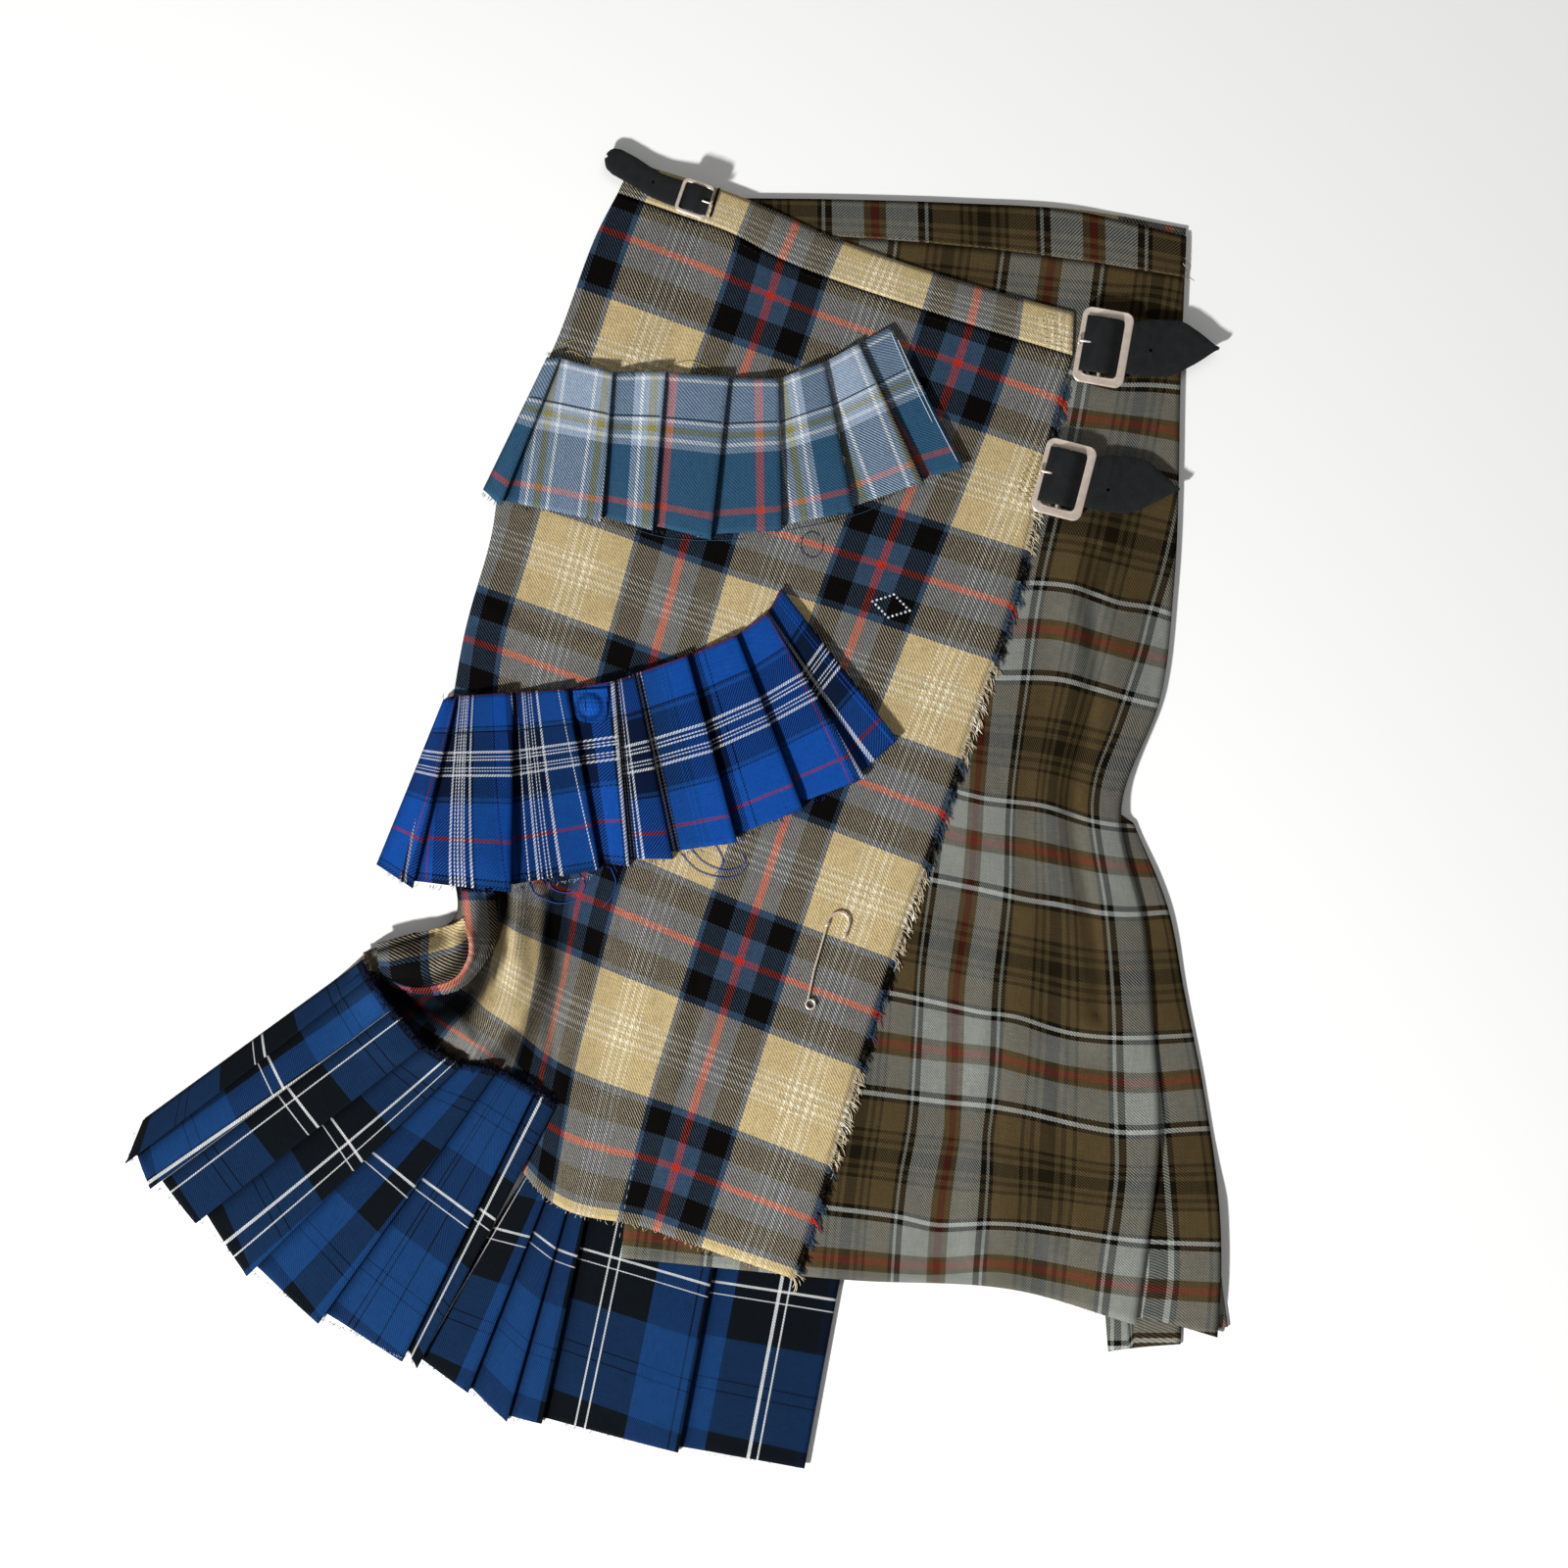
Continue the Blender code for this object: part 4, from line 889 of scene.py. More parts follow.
cobalt, royal, navy = (tone(c) for c in ("144A9C", "153F78", "0A1733"))
pine, milk, claret = (tone(c) for c in ("101F33", "D6DAE0", "8A2A40"))
brightWarps = lined(
    ((24, cobalt), (28.6, navy), (50, navy), (67, royal), (77.8, cobalt), (103.5, navy), (127.3, royal),
     (133.7, navy), (141, cobalt), (167.7, navy), (173, navy), (189.6, royal), (203.9, cobalt), (213, navy),
     (282.1, cobalt), (301, pine), (320, navy)),
    ((20.5, 1.2, claret), (34.9, 1.6, milk), (37.5, 0.8, milk), (39.4, 0.8, milk), (41.6, 0.8, milk),
     (43.4, 0.8, milk), (47.4, 1.6, milk), (64.5, 0.8, cobalt), (66.4, 0.8, navy), (84.1, 0.7, milk),
     (89.3, 1.6, milk), (91.5, 0.7, milk), (94.6, 0.7, milk), (96.5, 0.7, milk), (102.2, 1.7, milk),
     (122, 0.7, milk), (143, 1.6, milk), (145.3, 0.7, milk), (147, 0.7, milk), (148.8, 0.7, milk),
     (151.8, 1.6, milk), (169.5, 1.5, milk), (172, 0.7, milk), (184, 0.9, cobalt), (187, 0.9, cobalt),
     (213.7, 0.9, cobalt), (217, 0.7, navy), (279.7, 1.1, claret), (287.2, 2.4, milk), (302.5, 1.0, cobalt),
     (305.5, 1.0, cobalt)))
brightWefts = ((0.9, claret), (19.5, cobalt), (20.5, navy), (22.5, royal), (24, navy), (34.6, navy), (36.1, milk),
               (37.8, navy), (38.5, milk), (39.6, navy), (40.4, milk), (42.5, navy))
ruffleLower = {
    "depth": 102.9,
    "pleats": (
        (-130, 60, -168, -33, 0, 0), (-123, 62, -146, -42, 5, 7), (-92, 64, -92, -44, 7, 9),
        (-62, 66, -44, -32, 7, 8), (-36, 70, -28, -30, 7, 8), (-25, 74, -4, -26, 6, 7), (4, 84, 31, -17, 7, 8),
        (31, 95, 67, 1, 7, 8), (48, 107, 101, 18, 6, 8), (56, 121, 119, 39, 0, 0)),
    "marks": (0, 23.8, 77.8, 127.3, 143.4, 167.7, 203.9, 244.1, 282.1, 309.8),   # of the folds at mid height
    "shifts": ((-2.5, 5.5), (7.3, -9.9), (2.5, -3.9), (0, 0), (0, 0), (0, 0), (0, 0), (-2.3, 5.9), (3.7, -3.8)),
    "wefts": ((-7, -7),) * 4 + ((3.5, 3.5),) * 5,
    "relief": flutes(2.6, 1.0),
    "hemStep": 4.0,
    "shadow": 3.6,
    "on": ["front_apron"],
}


def cornersFrom(strip):
    # the warps at each face's corners, from the folds' marks and how far the cloth leans at head and hem
    marks = strip["marks"]
    return tuple((a + head, b + head, a + hem, b + hem)
                 for a, b, (head, hem) in zip(marks[:-1], marks[1:], strip["shifts"]))


ruffleLower["warps"] = cornersFrom(ruffleLower)


brightWoven = wovenCloth("bright_blue_check", striped(brightWarps, 0), striped(brightWefts, 1, 42.5), lean=1,
                         fade=0.06, sink=0.05, merge=0.2, dull=0.1, floats=(0.6, 0.8, 0.12))
makeStrip("ruffle_lower_cloth", "ruffle_lower", ruffleLower, brightWoven)

# the dark blue flounce, in two lengths

denim, azure, moss, snow, midnight = (tone(c) for c in ("1B3B64", "16427C", "131611", "E4E6E6", "0A1220"))
darkWefts = lined(
    ((4, midnight), (49.5, denim), (102, moss), (154, denim), (180, moss)),
    ((19.5, 0.9, midnight), (26, 0.9, midnight), (72.1, 1.3, snow), (78.7, 1.3, snow), (125, 0.9, midnight),
     (131.5, 0.9, midnight)))
leftWarps = lined(
    ((23, midnight), (36, azure), (112, midnight), (136.5, azure), (156.9, midnight), (207.1, azure),
     (240, midnight)),
    ((38, 1.2, snow), (46.8, 1.2, snow), (93.5, 1.4, snow), (102.3, 1.4, snow), (171, 0.9, midnight),
     (174, 0.9, midnight), (189, 0.9, midnight), (210, 1.3, snow), (217, 1.3, snow)))
rightWarps = lined(
    ((27, midnight), (78, azure), (127.5, midnight), (156, azure), (158, midnight), (172, azure),
     (196, midnight), (222.7, midnight), (240, navy)),
    ((0.3, 1.2, snow), (3.8, 1.2, snow), (99.5, 1.3, snow), (105, 1.3, snow), (152, 0.8, midnight),
     (196.4, 1.3, snow), (201.5, 1.3, snow)))
flounceLeft = {
    "depth": 162.7,
    "pleats": (
        (-174, -83, -299, -174, 0, 0), (-169, -91, -302, -193, 3, 4), (-157, -109, -289, -207, 4, 8),
        (-140, -129, -264, -226, 4, 8), (-120, -140, -236, -255, 4, 9), (-100, -143, -197, -281, 4, 8),
        (-79, -154, -151, -301, 4, 7), (-67, -162, -143, -305, 0, 0)),
    "marks": (0, 19.2, 38.3, 69.7, 110.1, 156.9, 207.1, 216),
    "shifts": ((0, 0), (-3, 3), (0, 0), (-2.5, 5), (-2.7, 6.6), (0, 0), (0, 0)),
    "wefts": ((1.1, -0.9), (-0.9, 2.1), (1.3, 4.6), (-3.9, 3.8), (-2.9, 4.0), (-0.9, 4.6), (0, 0)),
    "relief": flutes(2.4, 1.2),
    "hemStep": 7.0,
    "shadow": 3.2,
    "on": ["front_apron"],
}
flounceRight = {
    "depth": 162.7,
    "pleats": (
        (-66, -170, -147, -302, 0, 0), (-58, -173, -116, -320, 4, 6), (-50, -176, -95, -336, 4, 6),
        (-42, -179, -76, -337, 5, 8), (30, -192, -1, -353, 6, 8), (100, -197, 69, -362, 0, 0)),
    "marks": (0, 35.8, 62.2, 81.3, 158, 228.5),
    "shifts": ((0, 0), (0, 0), (0, 0), (0, 0), (0, 0)),
    "wefts": ((2.8, -4), (-8, -7), (-6, -4), (-9.5, -2), (-4, 0)),
    "relief": flutes(1.6, 0.6),
    "hemStep": 3.0,
    "shadow": 4.0,
    "on": ["back_panel"],
}


for node, strip, check, warps in (("flounce_left", flounceLeft, "dark_blue_check", leftWarps),
                                  ("flounce_right", flounceRight, "dark_blue_check_2", rightWarps)):
    strip["warps"] = cornersFrom(strip)
    woven = wovenCloth(check, striped(warps, 0), striped(darkWefts, 1), yarn=0.4, grain=0.3, fade=0.08, sink=0.0,
                       merge=0.6, gain=0.98, dull=0.1, floats=(0.6, 0.8, 0.2))
    makeStrip(node + "_cloth", node, strip, woven)
print("the pleated strips are made")


# two folds at the apron's lower left edge, which hang over the hollow beside them

pocket = {
    "inner": ((-166, -74), (-159, -72.2), (-150, -69.6), (-141, -67.6), (-132, -65.4), (-126, -64), (-121.5, -62.5),
              (-117, -59.5)),
    "outer": ((-163, -92), (-156, -97.5), (-148, -98.5), (-138, -98.5), (-128, -96), (-120, -91.5), (-113.5, -84),
              (-110.5, -74)),
    "warps": ((-40, -41, -41, -41, -41, -40, -39, -38), (-17, -12, -10, -9, -9, -12, -16, -20)),
    "wefts": (150, 156, 163, 170, 178, 183, 188, 193),
    "rise": (0.8, 1.0, 1.2, 1.6, 2.2, 2.4, 2.0, 1.2),
    "step": 0.12,
    "profile": ((0, 0.3), (0.1, 0.6), (0.2, 0.25), (0.35, 1.0), (0.6, 0.7), (1, 0.1)),
    "hem": 0.4,
    "shades": (        # painted shade: (points, darkness, reach)
        (((-165, -78.5), (-150, -73.8), (-135, -69.2)), 0.9, 1.6),
        (((-128, -75), (-136, -75.5), (-146, -79)), 0.3, 4.0),
        (((-158, -97), (-148, -95), (-136, -94), (-124, -89), (-116.5, -80), (-116.5, -70)), 0.72, 4.2)),
}
lip = {
    "inner": ((-119.7, -44), (-116.6, -61.4), (-114.2, -72.4), (-115.4, -82.3), (-122.7, -92.2), (-136, -96.6),
              (-149, -97), (-160, -93.5)),
    "outer": ((-101.5, -44), (-100.1, -62.6), (-101.5, -75), (-109.6, -88.5), (-121, -99.4), (-135.4, -102.8),
              (-148, -101.4), (-158, -97.5)),
    "warps": ((-111.8, -111.8, -111.6, -111.8, -111.8, -111.8, -112.5, -114),
              (-93.2, -93.5, -94.5, -98, -104, -105.5, -107, -109)),
    "wefts": (402, 417.5, 429, 440, 452, 466, 481, 490),
    "rise": (2.4, 3.2, 3.6, 3.6, 3.4, 3.0, 2.0, 0.6),
    "step": 0.12,
    "profile": ((0, 0.0), (0.08, 0.6), (0.2, 0.95), (0.4, 1.0), (0.6, 0.8), (0.8, 0.45), (0.92, 0.0), (1, -0.6)),
    "hem": 1.2,
    "shades": (
        (((-99.5, -44), (-98.5, -62.6), (-100, -76), (-108.5, -90), (-121, -101)), 0.6, 4.5),
        (((-148, -104), (-160, -98)), 0.5, 4.0)),
}


def clothTree():
    # all the cloth that has been laid so far
    points, faces = [], []
    for piece in bpy.data.objects:
        if piece.type == "MESH" and piece.name.endswith(("_cloth", "_fold")):
            first = len(points)
            points += [tuple(v.co / mm) for v in piece.data.vertices]
            faces += [tuple(first + k for k in p.vertices) for p in piece.data.polygons]
    return BVHTree.FromPolygons(points, faces)


turnUnder = {              # three more points past a fold's outer edge
    "reach": (-0.4, 0.4, 2.5),      # back from the edge
    "drop": (0.7, 1.5, 2.0),        # in parts of the fold's own hem
    "warps": (0.8, 2, 4.5),
    # painted shade on the three turned-under points
    "dark": (0.5, 0.8, 0.9),
    "lowest": 1.2,
    "over": 0.4,                    # least height above what is under the fold
}


def makeFold(name, fold):
    # a roll of cloth between two edges, on whatever is under it
    tree = clothTree()
    marks = np.arange(len(fold["rise"]))
    at = stopsBetween(0, marks[-1], fold["step"])
    share = np.linspace(0, 1, 25)[None, :]

    def between(table):
        first, second = (smooth(marks, row, at) for row in table)
        turn = share[..., None] if first.ndim == 2 else share
        return first[:, None] * (1 - turn) + second[:, None] * turn

    plan = between((fold["inner"], fold["outer"]))
    ground = topOf(tree, plan)
    rise = smooth(marks, fold["rise"], at)[:, None] * np.interp(share, *np.array(fold["profile"]).T)
    least = ground + turnUnder["over"]
    height = np.maximum(softened(np.maximum(softened(ground, 12) + rise, least), 2), least)
    warps, wefts = between(fold["warps"]), between((fold["wefts"], fold["wefts"]))
    back = plan[:, :1] - plan[:, -1:]
    back = back / np.linalg.norm(back, axis=2)[..., None]
    reach, drop = np.array(turnUnder["reach"]), np.array(turnUnder["drop"]) * fold["hem"]
    dark = np.maximum(hollowOf(height, 30, 4.0, 0.5), shaded(plan, fold["shades"]))
    dark = np.concatenate((dark, np.zeros((len(at), 1)) + turnUnder["dark"]), axis=1)
    plan = np.concatenate((plan, plan[:, -1:] + back * reach[None, :, None]), axis=1)
    height = np.concatenate((height, np.maximum(height[:, -1:] - drop, turnUnder["lowest"])), axis=1)
    warps = np.concatenate((warps, warps[:, -1:] + turnUnder["warps"]), axis=1)
    wefts = np.concatenate((wefts, wefts[:, -1:] + np.zeros(3)), axis=1)
    piece = addSheet(name, plan, height, np.dstack((warps, wefts)), tanWoven, hollow=dark)
    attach(piece, "root")


makeFold("apron_corner_fold", pocket)
makeFold("apron_edge_fold", lip)
print("the folds over the apron's edge are made")


# yarns: fringes, stitches and loose ends

laid = clothTree()


def groundAt(x, y):
    hit = dropOn(laid, x, y)
    return hit.z if hit else 0.0


yarnShape = {"sides": 3, "ends": 0.35}      # its ends' thickness, as a share of the middle's


def addYarns(name, paths, radius, material, flats=None):
    # one mesh of thin tapered yarns; each path is a row of (x, y, z)
    sides = yarnShape["sides"]
    points, faces, flat = [], [], []
    for index, path in enumerate(paths):
        path = np.asarray(path, float)
        run = np.gradient(path, axis=0)
        run /= np.linalg.norm(run, axis=1)[:, None] + 1e-9
        side = np.cross(run, (0.0, 0.0, 1.0))
        side /= np.linalg.norm(side, axis=1)[:, None] + 1e-9
        up = np.cross(side, run)
        first = len(points)
        for k in range(len(path)):
            thick = radius * (yarnShape["ends"] if k in (0, len(path) - 1) else 1.0)
            for corner in range(sides):
                angle = math.tau * corner / sides
                points.append(path[k] + thick * (side[k] * math.cos(angle) + up[k] * math.sin(angle)))
                flat.append(flats[index] if flats else (0.0, 0.0))
        for k in range(len(path) - 1):
            for corner in range(sides):
                a, b = first + k * sides + corner, first + k * sides + (corner + 1) % sides
                faces.append((a, b, b + sides, a + sides))
        faces.append(tuple(first + corner for corner in reversed(range(sides))))
        faces.append(tuple(first + (len(path) - 1) * sides + corner for corner in range(sides)))
    piece = addMesh(name, points, faces, material, flat)
    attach(piece, "root")
    return piece


def plainYarn(name, colour, spread=0.25):
    # one colour of thread, a little uneven from place to place
    shader = Shader(name, 0.9, gloss=0.1)
    mottle = shader.noise(shader.here(), 900.0, 2.0)
    return shader.finish(shader.shade(colour[:3], 1 - spread / 2 + mottle * spread))


def resting(x, y, lift):
    return (x, y, groundAt(x, y) + lift)


apronFringe = {
    "from": 12.0,           # down the edge, where the selvedge gives way to the fringe
    "spacing": 0.62,
    "length": (5.5, 9.5),
    "lean": (0.15, 1.0),    # radians down the edge
    "radius": 0.26,
    "points": 5,
}


def walk(points, spacing):
    # evenly spaced marks along a line: its point, its run and the share of the line
    steps = np.linalg.norm(np.diff(points, axis=0), axis=1)
    marks = np.concatenate(([0.0], np.cumsum(steps)))
    for s in np.arange(0, marks[-1], spacing):
        k = min(np.searchsorted(marks, s, side="right") - 1, len(steps) - 1)
        run = (points[k + 1] - points[k]) / steps[k]
        yield points[k] + run * (s - marks[k]), run, k + (s - marks[k]) / steps[k]


def makeApronFringe():
    first = int(apronFringe["from"] / apron["step"])
    edge = np.column_stack((apronPlan[first:, -1], apronHeight[first:, -1], apronFlatWefts[first:, -1]))
    paths, flats = [], []
    for spot, run, share in walk(edge[:, :2], apronFringe["spacing"]):
        k = int(share)
        z, weft = edge[k, 2], edge[k, 3] + (edge[min(k + 1, len(edge) - 1), 3] - edge[k, 3]) * (share - k)
        out = np.array((-run[1], run[0]))
        tuft = math.sin(share * 1.9) + 0.6 * math.sin(share * 4.7 + 1)       # threads lean together in tufts
        lean = np.interp(tuft, (-1.6, 1.6), apronFringe["lean"]) + rng.normal(0, 0.12)
        length = rng.uniform(*apronFringe["length"]) * (1 + 0.12 * tuft)
        path = []
        for step in np.linspace(0, 1, apronFringe["points"]):
            angle = lean * (0.4 + 0.9 * step)
            here = spot + length * step * (out * math.cos(angle) + run * math.sin(angle)) - out * 0.7 * (1 - step)
            floor = groundAt(*here) if step > 0.3 else z
            path.append((*here, max(floor + 0.3 + rng.uniform(0, 0.4), z - 0.3 - 4.0 * step)))
        paths.append(path)
        flats.append((0.0, weft))
    piece = addYarns("apron_fringe_yarns", paths, apronFringe["radius"], tanYarn, flats)
    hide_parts("apron_fringe")


flounceFringe = {
    "spacing": 0.3,
    "length": (1.5, 5.5),
    "start": (-2.2, 0.6),   # aside of the seam
    "downward": 0.72,       # share of the threads that point to the hem
    "lean": 0.6,
    "bend": 0.35,
    "radius": 0.24,
    "points": 4,
}


def makeFlounceFringe():
    # frayed seam where the flounce is sewn on: short dark ends both ways, matted at the stitching
    line = np.array([pleat[:2] for pleat in flounceLeft["pleats"]], float)
    paths = []
    for spot, run, share in walk(line, flounceFringe["spacing"]):
        out = np.array((-run[1], run[0])) * (-1 if rng.random() < flounceFringe["downward"] else 1)
        length = rng.uniform(*flounceFringe["length"])
        lean = rng.normal(0, flounceFringe["lean"])
        start = spot + out * rng.uniform(*flounceFringe["start"])
        bend = rng.normal(0, flounceFringe["bend"])
        path = []
        for step in np.linspace(0, 1, flounceFringe["points"]):
            angle = lean + bend * step
            here = start + length * step * (out * math.cos(angle) + run * math.sin(angle))
            path.append(resting(*here, 0.3 + 0.9 * math.sin(step * math.pi) * rng.random()))
        paths.append(path)
    yarn = plainYarn("midnight_yarn", tone("141B30"), 0.6)
    piece = addYarns("flounce_fringe_yarns", paths, flounceFringe["radius"], yarn)
    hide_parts("flounce_fringe")


fray = {
    "missing": 0.25,       # share of the places with no loose end
    "shortest": 0.35,
    "bend": 0.5,
    "points": 5,
}


def frayed(line, spacing, length, heading, spread):
    # loose ends along a cut edge, which mostly point one way
    paths = []
    for spot, run, share in walk(np.array(line, float), spacing):
        if rng.random() < fray["missing"]:
            continue
        angle = math.radians(heading) + rng.normal(0, spread)
        reach = rng.uniform(fray["shortest"], 1.0) ** 2 * length
        bend = rng.normal(0, fray["bend"])
        path = []
        for step in np.linspace(0, 1, fray["points"]):
            turned = angle + bend * step
            here = spot + reach * step * np.array((math.cos(turned), math.sin(turned)))
            path.append(resting(*here, 0.25 + 0.3 * step))
        paths.append(path)
    return paths


def curled(points, lift=0.35):
    # a loose thread through a few plan points, laid on whatever is under it
    points = np.array(points, float)
    line = smooth(np.arange(len(points)), points, np.linspace(0, len(points) - 1, 8 * len(points)))
    return [resting(x, y, lift) for x, y in line]


makeApronFringe()
makeFlounceFringe()


def foldLine(strip, which):
    return [pleat[which:which + 2] for pleat in strip["pleats"]]


looseEnds = (      # (name, colour, paths, thickness)
    ("upper_head_fray", "8A8F62", frayed(foldLine(ruffleUpper, 0), 2.6, 7.0, 95, 0.7), 0.14),
    ("upper_hem_fray", "2B4A63", frayed(foldLine(ruffleUpper, 2), 2.2, 3.6, 262, 0.5), 0.15),
    ("upper_hem_long", "2A4861", [
        curled(((-30, 156), (-12, 150), (10, 147.5), (36, 148))),
        curled(((60, 153), (84, 158), (104, 164), (112, 170)))], 0.16),
    ("lower_hem_fray", "1B3C86", frayed(foldLine(ruffleLower, 2), 1.8, 4.5, 265, 0.5), 0.16),
    ("lower_head_fray", "24407C", frayed(foldLine(ruffleLower, 0), 2.0, 3.5, 90, 0.6), 0.15),
    ("flounce_hem_fray", "2A3A5C", frayed(foldLine(flounceLeft, 2), 1.6, 3.2, 240, 0.5), 0.17),
    ("flounce_hem_fray_right", "2A3A5C", frayed(foldLine(flounceRight, 2), 1.6, 2.6, 265, 0.5), 0.17),
    ("apron_hem_fray", "CDBB92", frayed(apronPlan[-1, 36:], 1.6, 3.4, 252, 0.5), 0.16),
    ("brown_hem_fray", "5A4C3A", frayed([(200, -268), (251, -284)], 2.4, 2.2, 262, 0.5), 0.14),
)
for name, colour, paths, thickness in looseEnds:
    addYarns(name, paths, thickness, plainYarn(name + "_yarn", tone(colour)))
print("the fringes and frayed edges are made")


# leather

straps = {
    "wall": 2.0,
    "rounding": 0.35,      # how far the cut edges fall
    "inside": 5.0,         # heights are taken this far inside the ends
    "holeRadius": 0.95,
    "throatShift": (-0.9, 1.3),     # aside and wider, where the long straps fill their buckles
    "across": (-1, -0.94, -0.8, -0.5, -0.2, 0.2, 0.5, 0.8, 0.94, 1),
    "step": 1.5,
    "long": (              # (along the strap, half width, aside)
        (-11.5, 13.75, 0), (8.9, 13.75, 0.2), (14, 13.75, 0.9), (16.5, 14.4, 1.3), (19, 15.3, 1.7), (24, 15.6, 2.6),
        (34, 15.6, 4.2), (39, 15.2, 5.1), (43, 13.4, 5.9), (50, 8.8, 7.1), (56, 4.2, 8.2), (60, 1.7, 8.9),
        (63, 0.5, 9.4)),
    "short": (
        (-53.3, 0.8, 6.9), (-53.1, 1.9, 6.9), (-52.4, 3.6, 6.75), (-50.8, 5.4, 6.4), (-47, 6.7, 5.8),
        (-38, 6.8, 4.2), (-30, 6.7, 2.2), (-22, 6.6, 0.4), (-14, 6.8, 0), (-6.9, 7.0, 0), (8.6, 7.0, 0)),
    "spots": (             # (part, middle of the buckle, turn, which strap, hole along and across)
        ("upper", (233.0, 254.5), -10.0, "long", (26.0, 1.6)),
        ("lower", (211.5, 182.0), -14.5, "long", (25.0, -0.8)),
        ("small", (8.5, 334.5), -19.0, "short", (-24.5, 1.6)),
    ),
}


def leatherHide():
    shader = Shader("leather", 0.5, gloss=0.22)
    u, v = shader.cloth()
    place = shader.vector(u, v)
    grain = shader.add("ShaderNodeTexVoronoi", {"feature": "DISTANCE_TO_EDGE"}, {"Vector": place, "Scale": 1.6})
    wrinkle = shader.noise(shader.vector(u * 1.5, v * 0.25), 0.5, 4.0, 0.6)
    speck = shader.noise(place, 3.0, 2.0)
    wear = shader.noise(place, 0.16, 3.0)
    colour = shader.blend(wear.between(0.4, 0.8), tone("0E1011"), tone("191C1D"))
    rough = 0.36 + wrinkle * 0.25 + speck * 0.08
    return shader.finish(colour, grain.between(0.0, 0.12) * 0.5 + wrinkle + speck * 0.3, 0.12, roughness=rough)


hide = leatherHide()


def turnedAbout(middle, degrees, points):
    angle = math.radians(degrees)
    points = np.asarray(points, float)
    ahead, aside = np.array((math.cos(angle), math.sin(angle))), np.array((-math.sin(angle), math.cos(angle)))
    return np.array(middle) + points[..., :1] * ahead + points[..., 1:2] * aside


def makeStrap(part, middle, turn, kind, hole):
    rows = np.array(straps[kind], float)
    stops = np.unique(np.concatenate((stopsBetween(rows[0, 0], rows[-1, 0], straps["step"]), rows[:, 0])).round(2))
    half = np.interp(stops, rows[:, 0], rows[:, 1])
    aside = np.interp(stops, rows[:, 0], rows[:, 2])
    across = np.array(straps["across"])
    local = np.dstack((np.broadcast_to(stops[:, None], (len(stops), len(across))),
                       aside[:, None] + half[:, None] * across))
    fill = local.copy()
    if kind == "long":
        shift, wider = straps["throatShift"]
        fill[..., 1] += (np.interp(stops, (9, 15), (1, 0))[:, None]) * (shift + wider * across)
    plan = turnedAbout(middle, turn, fill)
    inner = np.clip(local[..., :1], rows[0, 0] + straps["inside"], rows[-1, 0] - straps["inside"])
    inner = turnedAbout(middle, turn, np.dstack((inner[..., 0], aside[:, None] + half[:, None] * across * 0.9)))
    height = softened(topOf(nodeTree("strap_" + part), inner), 3)
    drop = straps["rounding"] * np.minimum(half / 5, 1) ** 2      # less at a narrow tip
    height = height - drop[:, None] * np.abs(across) ** 8
    faces = [face[::-1] for face in gridFaces(*height.shape)]      # rows run along, so the face turns over
    points = np.dstack((plan, height)).reshape(-1, 3)
    piece = addMesh("strap_" + part + "_leather", points, faces, hide, local.reshape(-1, 2))
    apply(piece, "SOLIDIFY", thickness=straps["wall"] * mm, offset=-1, use_even_offset=False)
    apply(piece, "BEVEL", width=0.12 * mm, segments=2, limit_method="ANGLE", angle_limit=math.radians(60))
    spot = turnedAbout(middle, turn, [hole])[0]
    bpy.ops.mesh.primitive_cylinder_add(vertices=16, radius=straps["holeRadius"] * mm, depth=8 * mm,
                                        location=(spot[0] * mm, spot[1] * mm, (groundAt(*spot) + 4) * mm))
    punch = bpy.context.object
    apply(piece, "BOOLEAN", operation="DIFFERENCE", object=punch, solver="EXACT")
    bpy.data.objects.remove(punch)
    piece.data.shade_smooth()
    piece.data.set_sharp_from_angle(angle=math.radians(45))
    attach(piece, "root")
    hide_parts("strap_" + part)


for row in straps["spots"]:
    makeStrap(*row)
print("the straps are made")


# nickel

buckles = {
    "large": {"width": 28.5, "height": 42.0, "bar": 5.0, "corner": 5.0, "rim": 0.7, "centreBar": 2.2, "aside": -1.3,
              "lift": 0.0},
    "small": {"width": 18.0, "height": 19.0, "bar": 2.0, "corner": 3.0, "rim": 0.5, "centreBar": 1.2, "aside": 0.0,
              "lift": 2.6},
    "tongues": {           # (root along the strap, tip, thickness, width of its loop)
        "large": (-5.2, -13.4, 1.6, 4.6), "small": (4.4, 9.3, 1.1, 3.0)},
}


def nickelPlate():
    shader = Shader("nickel", 0.3, metallic=0.55)
    place = shader.here()
    brushed = shader.noise(place, 260.0, 4.0, 0.65)
    scuff = shader.noise(place, 1400.0, 2.0)
    colour = shader.blend(brushed.between(0.35, 0.7), tone("DCCABA"), tone("EADACC"))
    rough = 0.2 + brushed * 0.22 + scuff * 0.06
    return shader.finish(colour, scuff, 0.02, 0.4, roughness=rough)


nickel = nickelPlate()


def openEdit(piece):
    choose(piece)
    bpy.ops.object.mode_set(mode="EDIT")
    bpy.ops.mesh.select_all(action="DESELECT")
    bpy.ops.object.mode_set(mode="OBJECT")


def pick(piece, mode, chosen):
    # selects the faces or edges that the test names, and goes back into edit mode
    bpy.context.scene.tool_settings.mesh_select_mode = (False, mode == "EDGE", mode == "FACE")
    for group in (piece.data.vertices, piece.data.edges, piece.data.polygons):
        group.foreach_set("select", [False] * len(group))
    for part in (piece.data.polygons if mode == "FACE" else piece.data.edges):
        if chosen(part):
            part.select = True
    bpy.ops.object.mode_set(mode="EDIT")


def place(piece, middle, turn):
    piece.location = Vector(middle) * mm
    piece.rotation_euler = (0, 0, math.radians(turn))
    choose(piece)
    bakePlace()
    piece.select_set(False)


